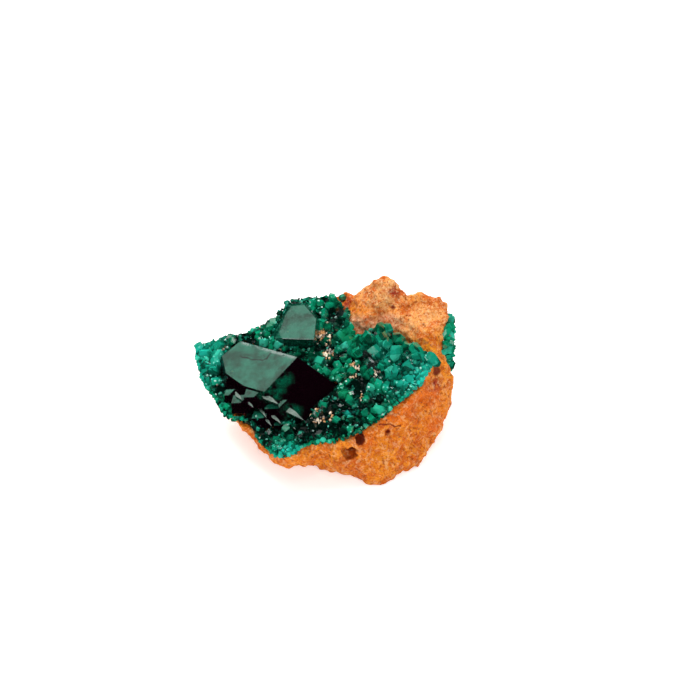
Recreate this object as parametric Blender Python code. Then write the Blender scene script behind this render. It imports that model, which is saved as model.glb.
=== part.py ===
"""Dioptase on limonitic rock, a mineral specimen 36 mm wide.

The rock is one loose piece that rests on a flat base. A sloping bed across its top and
left side carries a crust of small dioptase crystals, with two large crystals standing out
of it. A single crystal sits in a hollow by the rear edge, and a second small crust grows
on the right flank.

Lengths below are in millimetres and become metres in the meshes. +Z is up, +X is to the
right and +Y is to the rear. Outlines are given as (x, rise) pairs, where rise is y + z:
how high a point stands for someone who looks down on the rock from the front at 45 degrees.
"""
import math
import random

import bmesh
import bpy
from mathutils import Matrix, Vector, noise
from mathutils.bvhtree import BVHTree

MM = 0.001

# Driving dimensions
GAP = 0.3
CENTRE_X = 0.12
CENTRE_Y = -0.23
BED_HEIGHT = 9.5
BED_RISE_X = 0.12
BED_RISE_Y = 0.20
CRUST = 0.6
# Helpers reach this high, this far past an open side, and the viewer looks from this far
TOP = 30.0
OPEN_SIDE = 5.0
VIEW_DISTANCE = 60.0
# Faces that meet flatter than this are one face
FLAT_ANGLE = 1.5
# The feet of the small crystals end inside the crust, each at a slightly different height
SUNK = 0.2
SUNK_STEP = 0.011
SUNK_STEPS = 17
SEED = 41

# Crystal form of dioptase: the slope of the three end faces, seen from the long axis
END_SLOPE = 1.233
END_SLOPE_MID = 0.617

# The rock
ROCK_VOXEL = 0.55
ROCK_FACES = 2150
ROCK_LUMP = 0.5
ROCK_LUMP_SIZE = 3.2
ROCK_GRAIN = 0.3
ROCK_GRAIN_SIZE = 1.5
ROCK_SMOOTHING = 3
ROCK_SHARP_ANGLE = 38

# Outline of the druse's crust on the bed, (x, rise)
RIM = (
    (1.6, 23.0), (3.1, 19.3), (3.6, 15.9), (5.4, 14.9), (6.3, 16.4), (8.3, 17.0), (10.3, 14.7),
    (12.6, 12.6), (14.7, 11.2), (14.3, 9.8), (13.0, 6.8), (10.1, 3.2), (7.0, -0.4), (4.5, -2.5),
    (1.1, -4.4), (-1.5, -4.7), (-3.4, -5.2), (-3.8, -6.4), (-5.3, -7.4), (-7.2, -6.8), (-8.6, -4.8),
    (-9.4, -2.6), (-10.2, -0.8), (-12.6, -0.3), (-13.8, 0.7), (-14.8, 3.3), (-15.8, 5.2),
    (-16.8, 7.2), (-17.4, 9.9), (-17.8, 12.2), (-17.2, 13.4), (-14.0, 14.6), (-11.5, 15.4),
    (-9.4, 16.7), (-7.2, 18.0), (-6.0, 20.0), (-4.4, 21.4), (-1.7, 22.6), (0.4, 23.0),
)
# The part of that outline where the rock stands above the bed, as indices into RIM
WALL_FIRST = 0
WALL_LAST = 8

# Blocks whose union is the rough form of the rock, (x, y, z)
LEFT_BLOCK = (
    (-16.6, 0.3, 7.9), (-16.9, 3.6, 8.6), (-16.2, 4.4, 8.8), (-12.0, 5.6, 9.7), (-9.5, 6.6, 10.1),
    (-7.2, 7.5, 10.6), (-6.0, 9.0, 11.0), (-4.4, 10.2, 11.4), (0.4, 11.4, 12.2), (-14.6, -3.7, 7.4),
    (-13.8, -5.9, 7.0), (-10.4, -7.9, 7.1), (-8.8, -11.2, 6.6), (-7.4, -13.0, 6.4), (-5.3, -13.8, 6.5),
    (-3.6, -13.2, 6.8), (-11.6, -7.5, 5.3), (-10.1, -8.8, 5.0), (-8.8, -10.6, 4.2), (-7.5, -12.1, 3.8),
    (-5.8, -13.0, 3.5), (-3.8, -12.7, 3.4), (-2.2, -12.2, 3.3), (-14.0, -4.4, 6.2), (-15.8, -1.2, 6.3),
    (-15.6, 2.5, 6.4), (-11.0, 4.6, 5.6), (-7.0, 7.6, 4.6), (-6.0, -8.5, 1.4), (-8.8, -3.0, 1.6),
    (-7.8, 3.0, 1.6), (-3.0, 10.2, 2.6), (2.0, -9.0, 0.4), (2.0, 9.0, 0.4), (3.4, 10.9, 12.4),
    (3.4, 12.0, 9.0), (3.0, 12.2, 5.0),
)
BASE_BLOCK = (
    (14.9, 0.4, 11.6), (14.7, -0.9, 11.2), (13.3, -3.9, 10.6), (10.4, -6.7, 9.8), (7.2, -9.3, 8.9),
    (4.6, -10.9, 8.3), (1.2, -12.1, 7.6), (-1.5, -12.1, 7.3), (16.9, 2.6, 10.4), (17.8, 1.0, 6.5),
    (17.8, -1.0, 4.5), (16.7, -4.0, 2.6), (15.8, -5.5, 1.9), (9.6, -11.9, 0.9), (7.6, -13.0, 0.0),
    (5.6, -12.7, 0.4), (3.7, -11.8, 1.1), (10.4, -10.1, 5.5), (14.9, -4.6, 6.1), (-2.0, -10.8, 3.4),
    (0.3, -10.4, 2.2), (-4.5, -6.5, -1.0), (-4.5, 5.0, -1.0), (0.0, 9.5, -1.0), (10.0, 9.5, -1.0),
    (14.0, 4.0, -1.0), (14.6, -3.0, -1.0), (12.0, -8.5, -1.0), (7.6, -12.6, -1.0), (4.0, -11.2, -1.0),
    (-1.0, -8.6, -1.0), (-7.0, 0.0, 0.2), (-7.0, -4.5, 0.4),
)
FOOT_BLOCK = (
    (13.9, -9.2, 1.8), (14.4, -7.4, 2.4), (11.5, -9.9, 3.4), (11.0, -7.0, 4.0), (13.2, -9.5, 0.0),
    (10.6, -11.0, 0.0), (9.0, -8.0, 0.0), (13.6, -6.0, 0.0),
)
PEAK_BLOCK = (
    (3.9, 11.2, 13.0), (5.5, 10.6, 15.6), (7.0, 10.2, 17.5), (8.6, 10.0, 17.3), (9.9, 9.9, 16.7),
    (11.0, 9.6, 15.8), (3.8, 6.5, 11.4), (6.4, 6.0, 12.0), (8.4, 5.8, 12.6), (10.6, 4.6, 12.6),
    (11.5, 9.0, 12.0), (5.0, 12.5, 11.0), (7.5, 12.6, 13.6), (10.2, 12.4, 13.4), (2.0, 12.5, 6.0),
    (8.0, 12.9, 5.0), (0.0, 10.0, -1.0), (11.0, 10.0, -1.0), (4.0, 0.0, 4.0), (11.0, 0.0, 4.0),
)
SHOULDER_BLOCK = (
    (9.4, 9.6, 15.3), (11.5, 9.4, 15.3), (13.9, 8.8, 15.5), (16.3, 8.0, 15.8), (17.1, 6.2, 13.6),
    (17.1, 3.0, 10.7), (14.8, 1.2, 11.8), (12.4, 3.0, 12.2), (10.0, 5.0, 12.7), (16.9, 10.6, 9.6),
    (16.6, 9.8, 12.8), (13.4, 11.8, 12.0), (14.0, 11.6, 3.0), (9.0, 12.4, 4.0), (17.1, 4.0, 5.0),
    (13.6, 4.0, -1.0), (9.0, 9.5, -1.0), (9.0, 2.0, 3.0),
)
KNOB_BLOCK = (
    (1.9, 11.2, 13.2), (2.6, 11.9, 13.4), (3.3, 11.4, 13.2), (2.6, 10.9, 13.3), (1.2, 12.2, 11.5),
    (4.0, 12.2, 11.8), (3.6, 10.2, 11.4), (1.4, 10.4, 11.4), (2.6, 11.4, 9.0),
)
# Hollows in the rock, (x, rise, radius, how far the centre lies outside the surface)
PITS = (
    (4.8, -4.0, 0.9, 0.15), (3.5, -6.0, 1.5, 0.95), (15.0, 11.0, 0.75, 0.1), (8.6, -2.4, 0.5, 0.2),
)
SOCKET = (2.1, 23.5, 1.05, 0.35)
PIT_WOBBLE = 0.18
PIT_WOBBLES = 2.3
# The crystal in the socket: its axis, how far its tip stands out, spin, radius and length
STRAY_AXIS = (0.35, -0.5, 0.8)
STRAY_TIP = 1.6
STRAY_SPIN = 0.4
STRAY_RADIUS = 0.5
STRAY_LENGTH = 1.15

# Main crystal: the two large faces share the edge from CREST_LEFT to CREST_RIGHT
CREST_LEFT = (-8.3, -6.46, 11.71)
CREST_RIGHT = (-3.84, -1.31, 13.28)
GREY_NORMAL = (-0.290, -0.040, 0.956)
DARK_NORMAL = (0.317, -0.517, 0.796)
GREY_OUTLINE = ((-11.8, 15.1), (-14.3, 12.2), (-13.7, 8.8), (-11.2, 6.4))
DARK_OUTLINE = ((1.6, 6.5), (-2.9, -0.1))
MAIN_FEET = (
    (-8.6, -7.6), (-11.9, -5.6), (-14.4, -2.0), (-15.0, 2.6), (-12.2, 5.2), (-9.6, 4.6), (-3.0, 0.6),
    (2.0, -3.2), (-2.8, -9.0),
)
# Steps that grew parallel to the main crystal, (x, rise, lift of the middle, radius, length)
STEPS = (
    (-8.9, 3.7, 2.5, 1.7, 3.6), (-5.9, 1.5, 1.7, 1.6, 4.0), (-10.9, 2.6, 1.5, 1.5, 3.2),
    (-8.0, -0.3, 1.0, 1.4, 3.4), (-12.6, 4.2, 1.3, 1.1, 2.0), (-5.4, -1.6, 0.6, 1.2, 2.6),
)

# Upper crystal: a face parallel to the grey face, (x, rise), and its foot, (x, rise)
UPPER_MIDDLE = (-3.98, 6.4, 12.9)
UPPER_OUTLINE = (
    (-4.8, 22.0), (-2.9, 22.3), (-1.2, 19.5), (-1.5, 15.4), (-6.0, 15.6),
    (-6.4, 17.0), (-5.6, 20.3),
)
UPPER_BAND = ((-5.4, 21.8), (-7.0, 17.6), (-7.1, 15.9))
UPPER_BAND_DROP = 0.45
UPPER_WAIST = (
    (-5.1, 22.4), (-2.6, 22.8), (-0.7, 19.6), (-1.0, 15.0), (-2.1, 14.3),
    (-6.6, 14.4), (-7.8, 15.6),
)
UPPER_WAIST_LIFT = 1.2

# Druse crystals placed by hand, (x, rise, lift of the tip, radius, lean to +X, lean to +Y)
KEY_CRYSTALS = (
    (-12.2, 1.9, 1.9, 1.25, -0.5, -0.5), (-17.5, 13.2, 1.7, 1.15, -0.8, -0.1),
    (-16.9, 10.4, 1.5, 1.05, -0.7, 0.0), (-17.1, 7.9, 1.0, 0.9, -0.8, -0.3),
    (-15.2, 5.3, 1.5, 1.0, -0.6, -0.4), (-14.0, 2.7, 1.2, 0.95, -0.5, -0.6),
    (-15.6, 13.2, 2.0, 0.95, -0.3, 0.2), (-14.5, 11.6, 1.3, 0.75, -0.2, 0.0),
    (3.1, 16.2, 2.4, 0.95, 0.1, 0.1), (2.7, 4.8, 2.0, 0.85, 0.3, -0.3),
    (4.4, 3.4, 1.6, 0.7, 0.3, -0.2), (3.9, 2.0, 1.3, 0.6, 0.2, -0.3),
    (-10.0, -1.0, 1.2, 0.8, -0.3, -0.5), (-8.4, -4.6, 1.2, 0.7, -0.3, -0.5),
    (-5.0, -5.9, 1.1, 0.65, 0.0, -0.6), (9.3, 13.4, 3.0, 1.0, 0.1, 0.2),
    (6.6, 14.2, 2.8, 1.0, -0.1, 0.2), (11.6, 11.0, 2.3, 0.95, 0.3, 0.1),
    (13.8, 10.6, 1.2, 0.75, 0.7, 0.0), (10.6, 6.8, 1.8, 0.85, 0.4, -0.4),
    (8.5, 9.6, 2.9, 0.9, 0.2, -0.1),
)
FILL_TRIES = 9000
FILL_LIMIT = 112
RIM_STEP = 1.6
MOUND = (9.0, 2.0, 5.5, 4.0, 1.5)

# Side druse on the right flank, outline as (y, z), and how far out its bed lies
SIDE_BED_X = 16.35
SIDE_RIM = (
    (1.6, 7.6), (2.6, 11.0), (4.8, 12.8), (7.6, 13.0), (9.4, 10.8), (9.2, 7.6), (6.4, 5.6), (3.2, 5.8),
)
SIDE_CRUST = 0.45
SIDE_COUNT = 17
SIDE_REACH = 18.3
SIDE_RADIUS = (0.45, 0.85)
SIDE_STAND = 0.9
SIDE_LENGTH = 3.0
SIDE_TIP = 0.1


def point(x, y, z):
    """A place in millimetres, as a vector in metres about the specimen's own centre."""
    return Vector(((x - CENTRE_X) * MM, (y - CENTRE_Y) * MM, z * MM))


def bed_height(x, y):
    """Height of the bed under the druse."""
    return BED_HEIGHT + BED_RISE_X * x + BED_RISE_Y * y


def bed_place(x, rise, lift=0.0):
    """The (x, y, z) that stands lift above the bed at a given x and rise."""
    y = (rise - BED_HEIGHT - BED_RISE_X * x - lift) / (1.0 + BED_RISE_Y)
    return x, y, rise - y


def plane_place(x, rise, origin, normal):
    """The (x, y, z) on a plane at a given x and rise."""
    ox, oy, oz = origin
    nx, ny, nz = normal
    y = (nx * (x - ox) - ny * oy + nz * (rise - oz)) / (nz - ny)
    return x, y, rise - y


def bed_normal():
    """Unit normal of the bed."""
    return Vector((-BED_RISE_X, -BED_RISE_Y, 1.0)).normalized()


def finish(name, colour, roughness, transmission=0.0):
    """Principled material with a plain colour and roughness."""
    material = bpy.data.materials.new(name)
    material.use_nodes = True
    shader = material.node_tree.nodes["Principled BSDF"]
    shader.inputs["Base Color"].default_value = (*colour, 1.0)
    shader.inputs["Roughness"].default_value = roughness
    shader.inputs["Transmission Weight"].default_value = transmission
    material.diffuse_color = (*colour, 1.0)
    return material


def object_from(mesh_builder, name):
    """Turns a bmesh into a linked object."""
    mesh = bpy.data.meshes.new(name)
    bmesh.ops.recalc_face_normals(mesh_builder, faces=mesh_builder.faces)
    mesh_builder.to_mesh(mesh)
    mesh_builder.free()
    made = bpy.data.objects.new(name, mesh)
    bpy.context.scene.collection.objects.link(made)
    return made


def baked(made):
    """Applies the modifiers of an object to its mesh."""
    graph = bpy.context.evaluated_depsgraph_get()
    mesh = bpy.data.meshes.new_from_object(made.evaluated_get(graph))
    made.modifiers.clear()
    made.data = mesh
    return made


def removed(made):
    """Deletes a helper object."""
    bpy.data.objects.remove(made, do_unlink=True)


def boolean(made, other, operation):
    """Joins, cuts or crops an object with a helper, which is then deleted."""
    step = made.modifiers.new(operation.title(), "BOOLEAN")
    step.operation = operation
    step.solver = "EXACT"
    step.object = other
    baked(made)
    removed(other)
    return made


def united(made, others):
    """Joins an object with many helpers at once."""
    group = bpy.data.collections.new("helpers")
    bpy.context.scene.collection.children.link(group)
    for other in others:
        group.objects.link(other)
    step = made.modifiers.new("Union", "BOOLEAN")
    step.operation = "UNION"
    step.solver = "EXACT"
    step.operand_type = "COLLECTION"
    step.collection = group
    baked(made)
    for other in others:
        removed(other)
    bpy.data.collections.remove(group)
    return made


def hull(points, name):
    """Convex solid around a list of (x, y, z) places."""
    builder = bmesh.new()
    for place in points:
        builder.verts.new(point(*place))
    result = bmesh.ops.convex_hull(builder, input=builder.verts)
    inside = {v for v in result["geom_interior"] if isinstance(v, bmesh.types.BMVert)}
    bmesh.ops.delete(builder, geom=list(inside), context="VERTS")
    flat = math.radians(FLAT_ANGLE)
    bmesh.ops.dissolve_limit(builder, angle_limit=flat, verts=builder.verts, edges=builder.edges)
    return object_from(builder, name)


def prism(floor, roof, name):
    """Solid between two outlines with equally many points."""
    builder = bmesh.new()
    low = [builder.verts.new(point(*place)) for place in floor]
    high = [builder.verts.new(point(*place)) for place in roof]
    builder.faces.new(low)
    builder.faces.new(high)
    for i in range(len(low)):
        j = (i + 1) % len(low)
        builder.faces.new((low[i], low[j], high[j], high[i]))
    bmesh.ops.triangulate(builder, faces=builder.faces)
    return object_from(builder, name)


def cut_flat(made, origin, normal):
    """Cuts off what lies beyond a plane, on the side its normal points to, and closes the cut."""
    builder = bmesh.new()
    builder.from_mesh(made.data)
    everything = builder.verts[:] + builder.edges[:] + builder.faces[:]
    result = bmesh.ops.bisect_plane(
        builder, geom=everything, dist=1e-7, plane_co=origin, plane_no=normal, clear_outer=True)
    edges = [item for item in result["geom_cut"] if isinstance(item, bmesh.types.BMEdge)]
    if edges:
        bmesh.ops.holes_fill(builder, edges=edges, sides=0)
    bmesh.ops.recalc_face_normals(builder, faces=builder.faces)
    builder.to_mesh(made.data)
    builder.free()
    return made


def crystal(place, axis, spin, radius, length, name="crystal"):
    """Six-sided prism with the three sloping end faces of dioptase.

    place is the tip in millimetres, axis points along the tip, and length counts from it.
    """
    rim_drop = [END_SLOPE * radius if k % 2 == 0 else END_SLOPE_MID * radius for k in range(6)]
    turn = Vector((0, 0, 1)).rotation_difference(Vector(axis).normalized()).to_matrix()
    turn = turn @ Matrix.Rotation(spin, 3, "Z")
    tip = Vector(place)
    builder = bmesh.new()

    def vertex(x, y, z):
        return builder.verts.new(point(*(tip + turn @ Vector((x, y, z)))))

    apex = vertex(0, 0, 0)
    turns = [math.radians(60 * k) for k in range(6)]
    corner = [(radius * math.cos(turn_by), radius * math.sin(turn_by)) for turn_by in turns]
    ring = [vertex(x, y, -drop) for (x, y), drop in zip(corner, rim_drop)]
    foot = [vertex(x, y, -length) for x, y in corner]
    for k in (0, 2, 4):
        builder.faces.new((apex, ring[k - 1], ring[k], ring[k + 1]))
    for k in range(6):
        j = (k + 1) % 6
        builder.faces.new((ring[k], foot[k], foot[j], ring[j]))
    builder.faces.new(list(reversed(foot)))
    return object_from(builder, name)


def main_axes():
    """Axis and spin that turn a crystal's faces parallel to the two large faces."""
    grey = Vector(GREY_NORMAL).normalized()
    dark = Vector(DARK_NORMAL).normalized()
    across = (dark - grey * dark.dot(grey)).normalized()
    side = grey.cross(across)
    tilt = 1.0 / math.hypot(1.0, END_SLOPE)
    lean = math.acos(min(1.0, tilt / dark.dot(across)))
    axis = across * math.cos(lean) + side * math.sin(lean)
    toward = (dark - axis * dark.dot(axis)).normalized()
    turn = Vector((0, 0, 1)).rotation_difference(axis).to_matrix()
    local = turn.inverted() @ toward
    return axis, math.atan2(local.y, local.x)


def swollen(made, gap, name="room"):
    """Convex copy of a convex solid with every face moved out by gap."""
    builder = bmesh.new()
    bmesh.ops.create_cube(builder, size=100 * MM)
    room = object_from(builder, name)
    seen = []
    for face in made.data.polygons:
        normal = face.normal.copy()
        if any(normal.dot(other) > 0.9999 for other in seen):
            continue
        seen.append(normal)
        cut_flat(room, made.data.vertices[face.vertices[0]].co + normal * gap * MM, normal)
    return room


def largest_body(made):
    """Keeps the largest connected body of an object and drops loose chips."""
    builder = bmesh.new()
    builder.from_mesh(made.data)
    builder.verts.ensure_lookup_table()
    left = set(builder.verts)
    best = set()
    while left:
        body = {left.pop()}
        front = list(body)
        while front:
            here = front.pop()
            for edge in here.link_edges:
                there = edge.other_vert(here)
                if there in left:
                    left.remove(there)
                    body.add(there)
                    front.append(there)
        if len(body) > len(best):
            best = body
    bmesh.ops.delete(builder, geom=[v for v in builder.verts if v not in best], context="VERTS")
    builder.to_mesh(made.data)
    builder.free()
    return made


def facing_place(made, x, rise):
    """The (x, y, z) on an object's near side at a given x and rise, and the direction to the viewer."""
    tree = BVHTree.FromObject(made, bpy.context.evaluated_depsgraph_get())
    toward = Vector((0.0, -1.0, 1.0)).normalized()
    start = point(x, rise / 2, rise / 2) + toward * VIEW_DISTANCE * MM
    hit = tree.ray_cast(start, -toward)[0]
    return Vector((x, hit.y / MM + CENTRE_Y, hit.z / MM)), toward


def ball_cutter(centre, radius, name):
    """Rough ball with uneven faces, to hollow out a pit."""
    builder = bmesh.new()
    bmesh.ops.create_icosphere(builder, subdivisions=1, radius=radius * MM)
    for vertex in builder.verts:
        wobble = 1.0 + PIT_WOBBLE * noise.noise(vertex.co / (radius * MM) * PIT_WOBBLES + centre)
        vertex.co = point(*centre) + vertex.co * wobble
    return object_from(builder, name)


def rim_prism(outline, low_lift, widen, name):
    """Prism above the bed on the crust's outline, pushed out by widen where the rock has no wall."""
    floor = []
    middle_x = sum(x for x, _ in outline) / len(outline)
    middle_rise = sum(rise for _, rise in outline) / len(outline)
    for index, (x, rise) in enumerate(outline):
        away = Vector((x - middle_x, rise - middle_rise)).normalized()
        push = widen[0] if WALL_FIRST <= index <= WALL_LAST else widen[1]
        x, y, z = bed_place(x + away.x * push, rise + away.y * push)
        floor.append((x, y, z + low_lift))
    roof = [(x, y, TOP) for x, y, _ in floor]
    return prism(floor, roof, name)


def rock():
    """The limonitic rock with its bed, pits, socket and flat base."""
    made = hull(BASE_BLOCK, "matrix_rock")
    blocks = (LEFT_BLOCK, FOOT_BLOCK, PEAK_BLOCK, SHOULDER_BLOCK, KNOB_BLOCK)
    united(made, [hull(block, "block") for block in blocks])
    remesh = made.modifiers.new("Remesh", "REMESH")
    remesh.mode = "VOXEL"
    remesh.voxel_size = ROCK_VOXEL * MM
    smooth = made.modifiers.new("Smooth", "SMOOTH")
    smooth.factor = 0.5
    smooth.iterations = ROCK_SMOOTHING
    baked(made)
    roughened(made)
    decimate = made.modifiers.new("Decimate", "DECIMATE")
    decimate.ratio = ROCK_FACES / (2 * len(made.data.polygons))
    baked(made)
    cut_flat(made, point(0, 0, 0), Vector((0, 0, -1)))
    boolean(made, rim_prism(RIM, 0.0, (GAP / 2, OPEN_SIDE), "bed"), "DIFFERENCE")
    boolean(made, side_prism(0.0, GAP / 2), "DIFFERENCE")
    for number, (x, rise, radius, depth) in enumerate(PITS + (SOCKET,)):
        centre, toward = facing_place(made, x, rise)
        boolean(made, ball_cutter(centre - toward * depth, radius, f"pit {number}"), "DIFFERENCE")
    largest_body(made)
    made.data.shade_smooth()
    made.data.set_sharp_from_angle(angle=math.radians(ROCK_SHARP_ANGLE))
    made.data.materials.append(finish("limonite", (0.62, 0.27, 0.07), 0.9))
    return made


def roughened(made):
    """Gives the rock its lumps and coarse grain."""
    mesh = made.data
    centre = Vector((CENTRE_X, CENTRE_Y, 0.0))
    moves = []
    for vertex in mesh.vertices:
        place = vertex.co / MM + centre
        lump = noise.fractal(place / ROCK_LUMP_SIZE, 1.0, 2.0, 2)
        grain = noise.noise(place / ROCK_GRAIN_SIZE)
        moves.append(vertex.normal * (ROCK_LUMP * lump + ROCK_GRAIN * grain) * MM)
    for vertex, move in zip(mesh.vertices, moves):
        vertex.co += move


def side_prism(inner_lift, widen):
    """Block of space beyond the bed of the side druse."""
    middle_y = sum(y for y, _ in SIDE_RIM) / len(SIDE_RIM)
    middle_z = sum(z for _, z in SIDE_RIM) / len(SIDE_RIM)
    outline = []
    for y, z in SIDE_RIM:
        away = Vector((y - middle_y, z - middle_z)).normalized()
        outline.append((y + away.x * widen, z + away.y * widen))
    floor = [(SIDE_BED_X + inner_lift, y, z) for y, z in outline]
    roof = [(SIDE_BED_X + OPEN_SIDE, y, z) for y, z in outline]
    return prism(floor, roof, "side bed")


def main_crystal():
    """The large crystal and the convex bodies it is made of."""
    grey = [plane_place(x, rise, CREST_LEFT, GREY_NORMAL) for x, rise in GREY_OUTLINE]
    dark = [plane_place(x, rise, CREST_LEFT, DARK_NORMAL) for x, rise in DARK_OUTLINE]
    feet = [(x, y, bed_height(x, y) + GAP) for x, y in MAIN_FEET]
    made = hull([CREST_LEFT, CREST_RIGHT, *grey, *dark, *feet], "main_crystal")
    axis, spin = main_axes()
    steps = []
    for x, rise, lift, radius, length in STEPS:
        middle = Vector(bed_place(x, rise, lift))
        step = crystal(middle + axis * length * 0.5, axis, spin, radius, length, "step")
        cut_flat(step, point(0, 0, BED_HEIGHT + GAP), -bed_normal())
        steps.append(step)
    rooms = [swollen(body, GAP) for body in (made, *steps)]
    united(made, steps)
    largest_body(made)
    made.data.materials.append(finish("dark emerald", (0.01, 0.09, 0.06), 0.08, 0.4))
    return made, rooms


def upper_crystal():
    """The second large crystal, with its main face parallel to the grey face."""
    face = [plane_place(x, rise, UPPER_MIDDLE, GREY_NORMAL) for x, rise in UPPER_OUTLINE]
    for x, rise in UPPER_BAND:
        bx, by, bz = plane_place(x, rise, UPPER_MIDDLE, GREY_NORMAL)
        face.append((bx, by, bz - UPPER_BAND_DROP))
    waist = [bed_place(x, rise, UPPER_WAIST_LIFT) for x, rise in UPPER_WAIST]
    feet = [(x, y, bed_height(x, y) + GAP) for x, y, _ in waist]
    made = hull([*face, *waist, *feet], "upper_crystal")
    made.data.materials.append(finish("grey emerald", (0.05, 0.16, 0.11), 0.1, 0.4))
    return made, swollen(made, GAP)


def inside(outline, x, y):
    """Whether a place lies inside an outline."""
    found = False
    for (ax, ay), (bx, by) in zip(outline, outline[1:] + outline[:1]):
        if (ay > y) != (by > y) and x < (bx - ax) * (y - ay) / (by - ay) + ax:
            found = not found
    return found


def crystal_size(draw, x, y):
    """Radius of a filling crystal, by the part of the druse that it grows in."""
    if x < -12.0:
        return draw.uniform(0.7, 1.05)
    if y < -8.0:
        return draw.uniform(0.5, 0.8)
    if x > 6.0:
        return draw.uniform(0.7, 1.05)
    return draw.uniform(0.5, 0.95)


def mound(x, y):
    """How far the druse swells up over its right part."""
    mx, my, wide, deep, high = MOUND
    return high * math.exp(-((x - mx) / wide) ** 2 - ((y - my) / deep) ** 2)


def fill_places(draw, taken, blocked):
    """Places for the crystals that fill the druse: (x, y, radius)."""
    rim = [bed_place(x, rise)[:2] for x, rise in RIM]
    left, right = min(x for x, _ in rim), max(x for x, _ in rim)
    near, far = min(y for _, y in rim), max(y for _, y in rim)
    places = []
    for _ in range(FILL_TRIES):
        x = draw.uniform(left, right)
        y = draw.uniform(near, far)
        radius = crystal_size(draw, x, y)
        if not inside(rim, x, y) or any(inside(area, x, y) for area in blocked):
            continue
        spacing = [math.hypot(x - ox, y - oy) - 0.8 * (radius + other) for ox, oy, other in taken + places]
        if min(spacing, default=1.0) > 0:
            places.append((x, y, radius))
        if len(places) == FILL_LIMIT:
            break
    return places


def rim_places(draw):
    """Crystals that lean out along the free edge of the crust: (tip, lean, radius)."""
    rim = [Vector(bed_place(x, rise)) for x, rise in RIM]
    middle = sum(rim, Vector()) / len(rim)
    places = []
    for index in range(WALL_LAST + 1, len(RIM)):
        start = rim[index]
        end = rim[(index + 1) % len(RIM)]
        count = max(1, round((end - start).length / RIM_STEP))
        for step in range(count):
            here = start.lerp(end, (step + draw.uniform(0.2, 0.8)) / count)
            away = (here - middle)
            away.z = 0.0
            away.normalize()
            radius = crystal_size(draw, here.x, here.y) * 0.9
            tip = here + away * draw.uniform(-0.2, 0.25) + Vector((0, 0, GAP + draw.uniform(0.7, 1.3)))
            places.append((tip, away * draw.uniform(0.4, 1.0), radius))
    return places


def druse_crystals():
    """All the small crystals of the front druse."""
    draw = random.Random(SEED)
    up = bed_normal()
    made = []
    taken = []
    for x, rise, lift, radius, lean_x, lean_y in KEY_CRYSTALS:
        px, py, pz = bed_place(x, rise, lift)
        taken.append((px, py, radius))
        axis = (up + Vector((lean_x, lean_y, 0.0))).normalized()
        made.append(crystal((px, py, pz), axis, draw.uniform(0, math.pi), radius, lift + 2.0))
    for place, lean, radius in rim_places(draw):
        taken.append((place.x, place.y, radius))
        made.append(crystal(place, (up + lean).normalized(), draw.uniform(0, math.pi), radius, 3.2))
    main_area = [(x, y) for x, y in MAIN_FEET]
    upper_area = [bed_place(x, rise, UPPER_WAIST_LIFT)[:2] for x, rise in UPPER_WAIST]
    for x, y, radius in fill_places(draw, taken, (main_area, upper_area)):
        height = 0.7 + radius * draw.uniform(0.7, 1.3) + mound(x, y)
        tilt = Vector((draw.uniform(-0.55, 0.55), draw.uniform(-0.55, 0.55), 0.0))
        place = Vector((x, y, bed_height(x, y) + GAP)) + up * height
        made.append(crystal(place, (up + tilt).normalized(), draw.uniform(0, math.pi), radius, height + 2.0))
    for number, body in enumerate(made):
        level = BED_HEIGHT + GAP + SUNK + SUNK_STEP * (number % SUNK_STEPS)
        cut_flat(body, point(0, 0, level), -up)
    return made


def front_druse(rooms):
    """Crust of small crystals fused in one solid, with room for the large crystals."""
    floor = []
    for x, rise in RIM:
        px, py, pz = bed_place(x, rise)
        floor.append((px, py, pz + GAP))
    roof = [(x, y, z + CRUST) for x, y, z in floor]
    made = prism(floor, roof, "front_druse")
    united(made, druse_crystals())
    boolean(made, rim_prism(RIM, GAP - 0.05, (-GAP / 2, OPEN_SIDE), "bed room"), "INTERSECT")
    for room in rooms:
        boolean(made, room, "DIFFERENCE")
    largest_body(made)
    made.data.materials.append(finish("emerald druse", (0.01, 0.25, 0.17), 0.15, 0.4))
    return made


def side_druse():
    """The small crust on the right flank."""
    draw = random.Random(SEED + 1)
    made = side_slab()
    rim = list(SIDE_RIM)
    near_y, far_y = min(y for y, _ in rim), max(y for y, _ in rim)
    low_z, high_z = min(z for _, z in rim), max(z for _, z in rim)
    crystals = []
    places = []
    while len(crystals) < SIDE_COUNT:
        y = draw.uniform(near_y, far_y)
        z = draw.uniform(low_z, high_z)
        radius = draw.uniform(*SIDE_RADIUS)
        near = any(math.hypot(y - oy, z - oz) < 0.8 * (radius + other) for oy, oz, other in places)
        if near or not inside(rim, y, z):
            continue
        places.append((y, z, radius))
        axis = Vector((1.0, draw.uniform(-0.5, 0.5), draw.uniform(-0.4, 0.5))).normalized()
        tip = Vector((min(SIDE_REACH, SIDE_BED_X + SIDE_STAND + radius), y, z)) + axis * SIDE_TIP
        body = crystal(tip, axis, draw.uniform(0, math.pi), radius, SIDE_LENGTH)
        level = SIDE_BED_X + GAP + SUNK / 2 + SUNK_STEP * len(crystals)
        cut_flat(body, point(level, 0, 0), Vector((-1, 0, 0)))
        crystals.append(body)
    united(made, crystals)
    boolean(made, side_prism(GAP - 0.05, -GAP / 2), "INTERSECT")
    largest_body(made)
    made.data.materials.append(finish("flank emerald", (0.01, 0.22, 0.15), 0.15, 0.4))
    return made


def side_slab():
    """Thin backing of the side druse."""
    floor = [(SIDE_BED_X + GAP, y, z) for y, z in SIDE_RIM]
    roof = [(SIDE_BED_X + GAP + SIDE_CRUST, y, z) for y, z in SIDE_RIM]
    return prism(floor, roof, "side_druse")


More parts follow.
